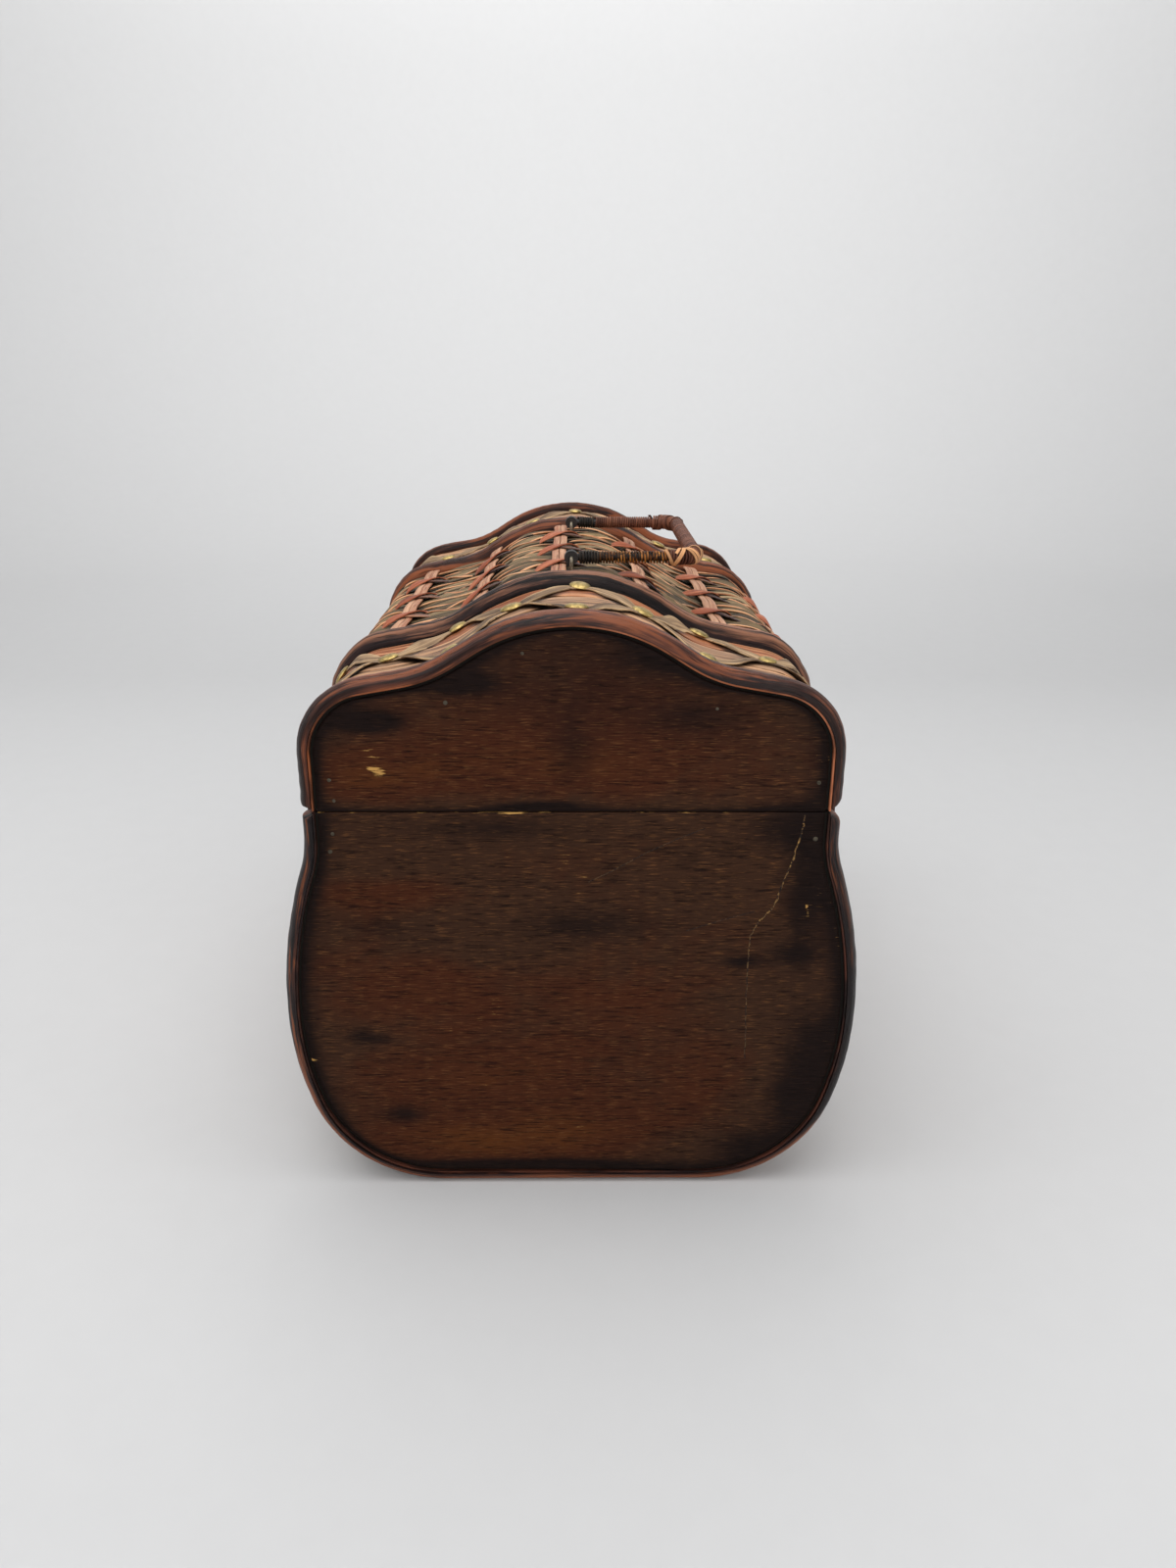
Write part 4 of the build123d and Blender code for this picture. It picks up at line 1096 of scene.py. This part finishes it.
def lay_ribs(piece, half, material, rng):
    """Ribs: two strips side by side along the chest, high between the strap rows and low under them."""
    ribs = rib_places(half)
    t = np.linspace(0, 1, 90)
    x = np.linspace(-WEAVE_HALF + 0.0006, WEAVE_HALF - 0.0006, 90)
    row_phase = math.tau * (x - STRAP_ROWS[1]) / STRAP_ROW_PITCH
    out = 0.00405 - 0.00055 * np.cos(row_phase)
    s = np.concatenate([ribs - RIB_STRIP_OFFSET, ribs + RIB_STRIP_OFFSET])[:, None]
    s = s + np.tile(0.00025 * smooth_noise(rng, (len(ribs),), t, lowest=1, highest=4), (2, 1))
    count = len(s)
    width = RIB_STRIP_HALF_WIDTH + 0.00008 * smooth_noise(rng, (count,), t, lowest=3, highest=9)
    edges = np.abs(rounded_strip(10, 0.6)[0]) ** 3
    tilt = np.where(np.arange(count) < len(ribs), 5.0, -5.0)[:, None]
    lay_strips(piece, half, s, x[None], out[None], width, 0.00055, material, roll=tilt,
               tone=rng.uniform(0.0, 0.9, count), mark=edges[None, None], points=10, squareness=0.6)


def lay_straps(piece, half, width, material, rng, over):
    """Straps where ribs cross the rows: one arches over the rib, the other comes out from under it."""
    ribs = rib_places(half)
    centre_s, centre_x = [grid.ravel()[:, None] for grid in np.meshgrid(ribs, STRAP_ROWS)]
    count = len(centre_s)
    t = np.linspace(0, 1, 14)
    shift = rng.normal(0, 0.0005, (count, 1))
    if over:
        s = centre_s - 0.0112 + 0.0208 * t
        x = centre_x + shift + 0.0078 - 0.0142 * (t * t * (3 - 2 * t))
        out = 0.0028 + 0.0027 * np.sin(math.pi * t) ** 0.8
        roll = 10 * np.sin(math.tau * t)
        half_width = width / 2 * (0.80 + 0.25 * np.sin(math.pi * t))
    else:
        s = centre_s - 0.0030 + 0.0165 * t
        x = centre_x + shift - 0.0030 + 0.0085 * t
        out = 0.0047 - 0.0018 * t * t
        roll = -14 * t
        half_width = width / 2 * (0.72 + 0.38 * np.sin(math.pi * np.clip(t * 1.05, 0, 1)))
    edges = np.abs(rounded_strip(10, 0.5)[0]) ** 3
    half_width = half_width * rng.uniform(0.92, 1.08, (count, 1))
    lay_strips(piece, half, s, x, out, half_width, 0.00036, material, roll=roll,
               tone=rng.uniform(-0.1, 0.8, count), mark=edges[None, None], points=10, squareness=0.5)


def lay_skin(piece, half, material):
    """The skin under the splints: one closed sheet, with the inside's weave in low relief.

    The relief is 0.11 mm times the sign and the power 0.4 of sin(pi s / a) sin(pi x / b).
    """
    outline = OUTLINES[half]
    rows = 160 if half == "lid" else 250
    columns = 130
    s = np.linspace(-outline.half + 0.0004, outline.half - 0.0004, rows)
    x = np.linspace(-HALF_LENGTH + 0.0024, HALF_LENGTH - 0.0024, columns)
    grid_s, grid_x = np.meshgrid(s, x, indexing="ij")
    over = np.sin(math.pi * grid_s / SKIN_CELL_ALONG) * np.sin(math.pi * grid_x / SKIN_CELL_ACROSS)
    relief = 0.00011 * np.sign(over) * np.abs(over) ** 0.4
    board = np.abs(grid_x) > BOARD_FACE - BOARD_THICKNESS - 0.001
    inner = outline.place(grid_s, grid_x, np.where(board, 0.00004, 0.00012 + relief))
    outer = outline.place(grid_s[:, ::-1], grid_x[:, ::-1], SKIN)
    rings = np.concatenate([outer, inner], axis=1)
    if half == "body":
        rings = rings[::-1]
    u = np.concatenate([grid_s, grid_s], axis=1)
    v = np.concatenate([grid_x[:, ::-1], grid_x], axis=1)
    if half == "body":
        u, v = u[::-1], v[::-1]
    # Painted shade: the outer face, seen only through gaps in the weave, and the inner face over the boards go
    # nearly black
    painted_skin_shade = np.concatenate([np.ones_like(grid_s), board.astype(float)], axis=1)
    piece.add(rings[None], u[None], v[None], material, mark=painted_skin_shade[None])


def skin_finish(colours):
    """Inside of the weave: flat splints over and under each other, with painted shade in the gaps between them and
    towards each splint's edges.

    u runs round the chest and v along it. Splints along u show where sin(pi u / a) sin(pi v / b) is above
    zero, the others where it is below, and each takes its tone from its number, floor(u / a) or floor(v / b).
    """
    finish = Finish("inside_weave", Roughness=0.75, Specular_IOR_Level=0.2)
    space = finish.space(uv=True)
    split = finish.node("ShaderNodeSeparateXYZ", ((0, space),))
    waves = []
    tones = []
    for number, width in enumerate((SKIN_CELL_ALONG, SKIN_CELL_ACROSS)):
        waves.append(finish.math("SINE", finish.math("MULTIPLY", split.outputs[number], math.pi / width)))
        index = finish.math("FLOOR", finish.math("MULTIPLY", split.outputs[number], 1.0 / width))
        tone = finish.node("ShaderNodeTexWhiteNoise", (("W", index),), noise_dimensions="1D").outputs[0]
        tones.append(tone)
    over = finish.band(finish.math("MULTIPLY", waves[0], waves[1]), -0.02, 0.02)
    along_u = finish.noise(finish.stretch(space, (70.0, 1700.0, 1.0)), detail=4.0)
    along_v = finish.noise(finish.stretch(space, (1700.0, 70.0, 1.0)), detail=4.0)
    colours_by_way = []
    for fibres, tone in ((along_v, tones[0]), (along_u, tones[1])):
        share = finish.math("MULTIPLY_ADD", tone, 0.14, finish.math("SUBTRACT", fibres, 0.07))
        shade = finish.mix(finish.band(share, 0.34, 0.56), colours.olive_dark, colours.olive)
        colours_by_way.append(finish.mix(finish.band(share, 0.54, 0.74), shade, colours.band_tan))
    colour = finish.mix(over, colours_by_way[0], colours_by_way[1])
    sizes = [finish.math("ABSOLUTE", wave) for wave in waves]
    gap = finish.band(finish.math("MINIMUM", sizes[0], sizes[1]), 0.20, 0.02)
    crown = finish.band(finish.math("MULTIPLY", sizes[0], sizes[1]), 0.0, 0.8)
    # Painted shade: darker towards each splint's edges, so that it looks rounded
    colour = finish.mix(finish.math("MULTIPLY_ADD", crown, 0.55, 0.45), dim(colours.olive_dark, 0.4), colour)
    # Painted shade in the gaps between splints
    colour = finish.mix(gap, colour, dim(colours.olive_dark, 0.28))
    # Painted shade from the mark layer: nearly black on the skin's outer face and over the boards
    colour = finish.mix(finish.layer("mark"), colour, dim(colours.olive_dark, 0.15))
    finish.bump(finish.math("ADD", crown, finish.math("MULTIPLY", along_u, 0.2)), 0.0006)
    return finish.paint(colour)


class CHEST_OT_weave(bpy.types.Operator):
    """Lay the skin, the splints, the reeds, the ribs and the straps"""
    bl_idname = "chest.weave"
    bl_label = "Weave"

    def execute(self, context):
        colours = context.scene.chest_colours
        sizes = context.scene.chest_sizes
        olive = cane_finish("splint_olive", colours.olive_dark, colours.olive, colours.olive_light, gloss=0.6,
                            fibre=2400.0, relief=0.0002)
        reed = cane_finish("reed_orange", colours.reed_dark, colours.reed, colours.reed_light, fibre=3000.0,
                           relief=0.0001, edge_wear=0.8, black_share=0.15)
        pink = cane_finish("rib_pink", colours.strap, colours.rib, colours.rib_light, gloss=0.5,
                           relief=0.0001, black_share=0.1)
        red = cane_finish("strap_red", colours.rim_brown, colours.strap, colours.strap_light, relief=0.0001,
                          black_share=0.1)
        purple = cane_finish("strap_purple", colours.hoop_dark, colours.strap_purple, colours.rib, gloss=0.5,
                             relief=0.0001, edge_wear=0.2, black_share=0.2)
        skin = skin_finish(colours)
        for number, half in enumerate(OUTLINES):
            rng = np.random.default_rng(101 + number)
            piece = Piece(f"{half}_skin", "matting", half)
            lay_skin(piece, half, skin)
            piece.finish(f"{half}_matting")
            piece = Piece(f"{half}_wide_splints", "splint", half)
            lay_wide_splints(piece, half, olive, rng)
            piece.finish(f"{half}_weft_splints")
            piece = Piece(f"{half}_reeds", "strap_cane", half)
            lay_reeds(piece, half, sizes.reed_width, reed, rng)
            piece.finish()
            piece = Piece(f"{half}_rib_strips", "rib_cane", half)
            lay_ribs(piece, half, pink, rng)
            piece.finish(f"{half}_ribs")
            piece = Piece(f"{half}_strap_strips", "strap_cane", half)
            lay_straps(piece, half, sizes.strap_width, red, rng, over=True)
            lay_straps(piece, half, sizes.strap_width * 1.2, purple, rng, over=False)
            piece.finish(f"{half}_straps")
        return {"FINISHED"}


# Bail handle

def bail_line(d):
    """Points and directions at distances d along the bail's centre line, from the arm at +X to the arm at -X.

    Each arm is straight, each corner a quarter arc, and the grip straight between them, all level.
    """
    arm = BAIL_REACH - BAIL_CORNER
    bend = BAIL_CORNER * math.pi / 2
    grip = 2 * (BAIL_HALF_SPAN - BAIL_CORNER)
    half = arm + bend + grip / 2
    side = np.where(d > half, -1.0, 1.0)
    a = np.where(d > half, 2 * half - d, d)
    angle = np.clip((a - arm) / BAIL_CORNER, 0, math.pi / 2)
    over = np.maximum(a - arm - bend, 0)
    x = BAIL_HALF_SPAN - BAIL_CORNER * (1 - np.cos(angle)) - over
    y = np.minimum(a, arm) + BAIL_CORNER * np.sin(angle)
    forward = np.stack([-np.sin(angle) * side, np.cos(angle), np.zeros_like(angle)], axis=-1)
    forward[..., 1] *= side
    forward[..., 0] *= side
    points = np.stack([side * x, y, np.full_like(x, BAIL_Z)], axis=-1)
    return points, forward, 2 * half


def wind(piece, start, end, width, pitch, radius, thickness, material, tone=0.0, mark=0.0, turn=1.0,
         per_turn=20, phase=0.0, sooty=0.0):
    """A flat strip wound round the bail: c(d) + r (cos a E + sin a F), where a turns once in each pitch."""
    turns = abs(end - start) / pitch
    count = max(int(turns * per_turn), 12)
    t = np.linspace(0, 1, count)
    d = start + (end - start) * t
    angle = turn * math.tau * turns * t + phase
    points, forward, _ = bail_line(d)
    up = np.broadcast_to((0.0, 0.0, 1.0), points.shape)
    flat = np.cross(forward, up)
    radial = np.cos(angle)[:, None] * up + np.sin(angle)[:, None] * flat
    centres = (points + (radius + thickness / 2) * radial)[None]
    unit_across, unit_lift = rounded_strip(8, 0.7)
    rings = carry(centres, radial[None], width / 2 * unit_across, thickness / 2 * unit_lift)
    # Painted shade on the strip's sides and underside, which reads as dark grooves between the turns; sooty adds
    # darker cane towards the start
    groove = np.clip(0.55 - unit_lift, 0, 1)[None, None]
    piece.add(rings, along(centres)[..., None], width / 2 * unit_across, material, tone,
              np.clip(unit_lift, 0, 1)[None, None] * (0.5 + mark),
              np.clip(groove + sooty * (1 - t[None, :, None]) ** 2, 0, 1))


# Screen colours of the wound cane: dark, middle and light
AMBER = (srgb(34, 20, 12), srgb(140, 80, 30), srgb(214, 146, 74))
CROSSED = (srgb(84, 46, 24), srgb(176, 104, 58), srgb(228, 170, 118))
GRIP_BROWN = (srgb(50, 28, 24), srgb(106, 62, 46), srgb(160, 104, 78))
BINDING_BLACK = (srgb(14, 12, 11), srgb(34, 28, 24), srgb(84, 68, 52))

# Distances along the bail where windings begin and end, and the crossed corner strips with a phase in radians
BINDING_RANGE = (0.0036, 0.0120)
ARM_RANGE = (0.0122, 0.0420)
GRIP_START = 0.0422
CORNER_STRIPS = ((0.0405, 0.0545, 0.4), (0.0560, 0.0425, 2.2), (0.0440, 0.0590, 3.4), (0.0600, 0.0450, 5.0),
                 (0.0425, 0.0570, 1.7), (0.0580, 0.0435, 0.9))

# Strips that are wound on: width, pitch, distance of the inner face from the bail's middle, and thickness
BINDING_STRIP = (0.00105, 0.00125, BAIL_CORE, 0.0013)
CORNER_STRIP = (0.0014, 0.0110, BAIL_CORE + 0.00185, 0.0005)


class CHEST_OT_handle(bpy.types.Operator):
    """Wind the bail: black ends, banded arms, a fine grip and crossed strips at the corners"""
    bl_idname = "chest.handle"
    bl_label = "Handle"

    def execute(self, context):
        sizes = context.scene.chest_sizes
        fine = {"fibre": 3500.0, "relief": 0.00006}
        amber = cane_finish("winding_amber", *AMBER, gloss=0.4, edge_wear=0.6, black_share=0.95,
                            patch=(210.0, 260.0), **fine)
        crossed = cane_finish("winding_crossed", *CROSSED, gloss=0.4, edge_wear=0.7, black_share=0.3, **fine)
        brown = cane_finish("winding_brown", *GRIP_BROWN, gloss=0.42, edge_wear=0.6, black_share=0.2, **fine)
        black = cane_finish("binding_black", *BINDING_BLACK, gloss=0.5, edge_wear=0.3, **fine)
        total = float(bail_line(np.zeros(1))[2])
        ends = Piece("handle_black_bindings", "black_binding", "handle")
        arms = Piece("handle_arm_strips", "winding", "handle")
        grip = Piece("handle_grip_strip", "winding", "handle")
        width, pitch = sizes.winding_width, sizes.winding_pitch
        for near in (True, False):
            start, end = [distance if near else total - distance for distance in BINDING_RANGE]
            wind(ends, start, end, *BINDING_STRIP, black, tone=0.1)
            start, end = [distance if near else total - distance for distance in ARM_RANGE]
            wind(arms, start, end, width * (0.84 if near else 1.0), pitch * (1.0 if near else 0.9), BAIL_CORE,
                 0.0011 if near else 0.0013, amber if near else brown, tone=0.35, sooty=0.75 if near else 0.3)
        wind(grip, GRIP_START, total - GRIP_START, width * 0.98, pitch * 0.85, BAIL_CORE, 0.0019, brown,
             tone=0.2, turn=-1.0, per_turn=18)
        for start, end, phase in CORNER_STRIPS:
            wind(grip, start, end, *CORNER_STRIP, crossed, tone=0.8, mark=0.4, phase=phase, per_turn=40)
            wind(grip, total - start, total - end, *CORNER_STRIP, brown, tone=0.3, phase=phase, per_turn=40)
        ends.finish("handle_end_bindings")
        arms.finish("handle_arm_windings")
        grip.finish("handle_grip_winding")
        return {"FINISHED"}


# Finishes of the pieces that keep their own shape

def plain_wood_finish(name, dark, light, axis_scale):
    """Plain wood: noise on Object coordinates stretched along the grain."""
    finish = Finish(name, Roughness=0.62)
    space = finish.space()
    grain = finish.noise(finish.stretch(space, axis_scale), detail=5.0, roughness=0.6, distortion=0.4)
    clouds = finish.noise(finish.stretch(space, (20.0, 26.0, 26.0)), detail=3.0)
    colour = finish.mix(finish.band(grain, 0.36, 0.68), dark, light)
    colour = finish.mix(finish.math("MULTIPLY", finish.band(clouds, 0.50, 0.74), 0.5), colour, dim(dark, 0.5))
    finish.bump(grain, 0.00015)
    return finish.paint(colour, finish.math("MULTIPLY_ADD", grain, 0.3, 0.42))


# Screen colours of the plain woods: dark and light. The bail's core shows only between the turns of its winding,
# and is painted nearly black as shade there.
INSIDE_WOOD = (srgb(112, 78, 48), srgb(160, 118, 76))
BAIL_CORE_SHADE = (srgb(12, 9, 8), srgb(34, 24, 18))


class CHEST_OT_fittings(bpy.types.Operator):
    """Finish the rails, battens, floor, hinges, staples and latch"""
    bl_idname = "chest.fittings"
    bl_label = "Rails and fittings"

    def execute(self, context):
        colours = context.scene.chest_colours
        rail = plain_wood_finish("rail_cane", colours.rim_dark, colours.rim_brown, (22.0, 900.0, 900.0))
        wood = plain_wood_finish("inside_wood", *INSIDE_WOOD, (20.0, 500.0, 500.0))
        iron = metal_finish("iron_wire", colours.iron, 0.45, patina=0.6)
        brass = metal_finish("latch_brass", colours.brass, 0.34, patina=0.6)
        # Painted shade: the nearly black core shows in the gaps between the winding's turns
        core = plain_wood_finish("bail_core", *BAIL_CORE_SHADE, (400.0, 60.0, 400.0))
        finishes = {"bent_cane": rail, "plain_wood": wood, "iron_wire": iron, "brass": brass, "winding": core}
        slots = {part["node"]: part["material_slot"] for part in frame["record"]["subparts"]}
        for name, node in frame["nodes"].items():
            if slots[name] in finishes:
                for place in node.material_slots:
                    place.material = finishes[slots[name]]
        return {"FINISHED"}


# Stage

FLOOR_MIDDLE = 0.05
FLOOR_RADIUS = 1.4
BEND_RADIUS = 0.9
WALL_TOP = 4.0
BOWL_SIDES = 96


def build_backdrop(colour):
    """Floor and backdrop in one bowl round the chest: level, then a quarter circle of radius R, then upright.

    The profile of radii and heights turns round the Z axis: (r cos a, r sin a, z).
    """
    level = np.stack([np.linspace(FLOOR_MIDDLE, FLOOR_RADIUS, 8), np.zeros(8)], axis=-1)
    angle = np.linspace(0, math.pi / 2, 25)[1:]
    bend = np.stack([FLOOR_RADIUS + BEND_RADIUS * np.sin(angle), BEND_RADIUS * (1 - np.cos(angle))], axis=-1)
    upright = np.linspace(BEND_RADIUS, WALL_TOP, 7)[1:]
    wall = np.stack([np.full_like(upright, FLOOR_RADIUS + BEND_RADIUS), upright], axis=-1)
    radius, height = np.concatenate([level, bend, wall]).T[..., None]
    turn = np.arange(BOWL_SIDES) * math.tau / BOWL_SIDES
    rings = np.stack(np.broadcast_arrays(radius * np.cos(turn), radius * np.sin(turn), height), axis=-1)
    index = np.arange(rings[..., 0].size).reshape(rings.shape[:2])
    after = np.roll(index, -1, axis=1)
    faces = np.stack([index[:-1], index[1:], after[1:], after[:-1]], axis=-1).reshape(-1, 4).tolist()
    faces.append(index[0].tolist())
    mesh = bpy.data.meshes.new("backdrop")
    mesh.from_pydata(rings.reshape(-1, 3), [], faces)
    mesh.polygons.foreach_set("use_smooth", np.ones(len(faces), dtype=bool))
    finish = Finish("backdrop_paper", Roughness=0.85, Specular_IOR_Level=0.2)
    speckle = finish.noise(finish.stretch(finish.space(), (60.0, 60.0, 60.0)), detail=2.0)
    mesh.materials.append(finish.paint(finish.mix(speckle, dim(colour, 0.97), colour)))
    sheet = bpy.data.objects.new("backdrop", mesh)
    bpy.context.scene.collection.objects.link(sheet)


CHEST_MIDDLE = (0.0, 0.0, 0.15)
# Name, place, aim, size, the stage's power setting and the share of it
LIGHTS = (
    ("overhead", (0.10, -0.12, 1.40), CHEST_MIDDLE, 1.6, "key_power", 1.0),
    ("left", (0.25, -1.25, 0.85), CHEST_MIDDLE, 1.2, "key_power", 0.22),
    ("right", (0.25, 1.25, 0.85), CHEST_MIDDLE, 1.2, "key_power", 0.18),
    ("front", (1.5, 0.35, 0.75), CHEST_MIDDLE, 1.2, "fill_power", 1.0),
    ("wall", (-1.1, 0.0, 1.8), (-2.3, 0.0, 1.5), 1.5, "wall_power", 1.0),
)
SKY_TINT = (0.92, 0.94, 1.0, 1.0)


def add_area_light(name, place, aim, size, power):
    """A square soft light that faces a point."""
    light = bpy.data.lights.new(name, "AREA")
    light.size = size
    light.energy = power
    lamp = bpy.data.objects.new(name, light)
    away = np.subtract(place, aim)
    flat = math.hypot(away[0], away[1])
    lamp.location = place
    lamp.rotation_euler = (math.atan2(flat, away[2]), 0.0, math.atan2(away[1], away[0]) + math.pi / 2)
    bpy.context.scene.collection.objects.link(lamp)


class CHEST_OT_stage(bpy.types.Operator):
    """Set the camera, the soft lights and the pale backdrop"""
    bl_idname = "chest.stage"
    bl_label = "Stage"

    def execute(self, context):
        stage = context.scene.chest_stage
        data = bpy.data.cameras.new("view")
        data.lens = stage.lens
        data.sensor_width = 36.0
        data.shift_x = stage.frame_shift
        data.clip_start = 0.01
        camera = bpy.data.objects.new("view", data)
        camera.location = (HALF_LENGTH + stage.camera_distance, 0.0, stage.camera_height)
        camera.rotation_euler = (math.pi / 2 - stage.camera_pitch, 0.0, math.pi / 2)
        context.scene.collection.objects.link(camera)
        context.scene.camera = camera
        build_backdrop(tuple(stage.floor_colour))
        for name, place, aim, size, power, share in LIGHTS:
            add_area_light(name, place, aim, size, getattr(stage, power) * share)
        world = bpy.data.worlds.new("sky")
        world.use_nodes = True
        background = world.node_tree.nodes["Background"]
        background.inputs["Color"].default_value = SKY_TINT
        background.inputs["Strength"].default_value = stage.sky
        context.scene.world = world
        context.scene.view_settings.view_transform = "Standard"
        return {"FINISHED"}


OPERATORS = (CHEST_OT_stage, CHEST_OT_boards, CHEST_OT_rims, CHEST_OT_bands, CHEST_OT_tacks, CHEST_OT_weave,
             CHEST_OT_handle, CHEST_OT_fittings)
GROUPS = (("chest_colours", ChestColours), ("chest_sizes", ChestSizes), ("chest_stage", ChestStage))


class CHEST_PT_panel(bpy.types.Panel):
    """The chest's operators, in building order"""
    bl_idname = "CHEST_PT_panel"
    bl_label = "Woven chest"
    bl_space_type = "VIEW_3D"
    bl_region_type = "UI"
    bl_category = "Chest"

    def draw(self, context):
        for operator in OPERATORS:
            self.layout.operator(operator.bl_idname)
        for name, group in GROUPS:
            box = self.layout.box()
            settings = getattr(context.scene, name)
            for key in group.__annotations__:
                box.prop(settings, key)


def register():
    for name, group in GROUPS:
        bpy.utils.register_class(group)
        setattr(bpy.types.Scene, name, bpy.props.PointerProperty(type=group))
    for item in OPERATORS + (CHEST_PT_panel,):
        bpy.utils.register_class(item)


def unregister():
    for item in (CHEST_PT_panel,) + OPERATORS[::-1]:
        bpy.utils.unregister_class(item)
    for name, group in GROUPS[::-1]:
        delattr(bpy.types.Scene, name)
        bpy.utils.unregister_class(group)


def main():
    """Builds everything."""
    register()
    for operator in OPERATORS:
        group, name = operator.bl_idname.split(".")
        result = getattr(getattr(bpy.ops, group), name)()
        if result != {"FINISHED"}:
            raise RuntimeError(f"{operator.bl_label} did not finish")


if __name__ == "__main__":
    main()
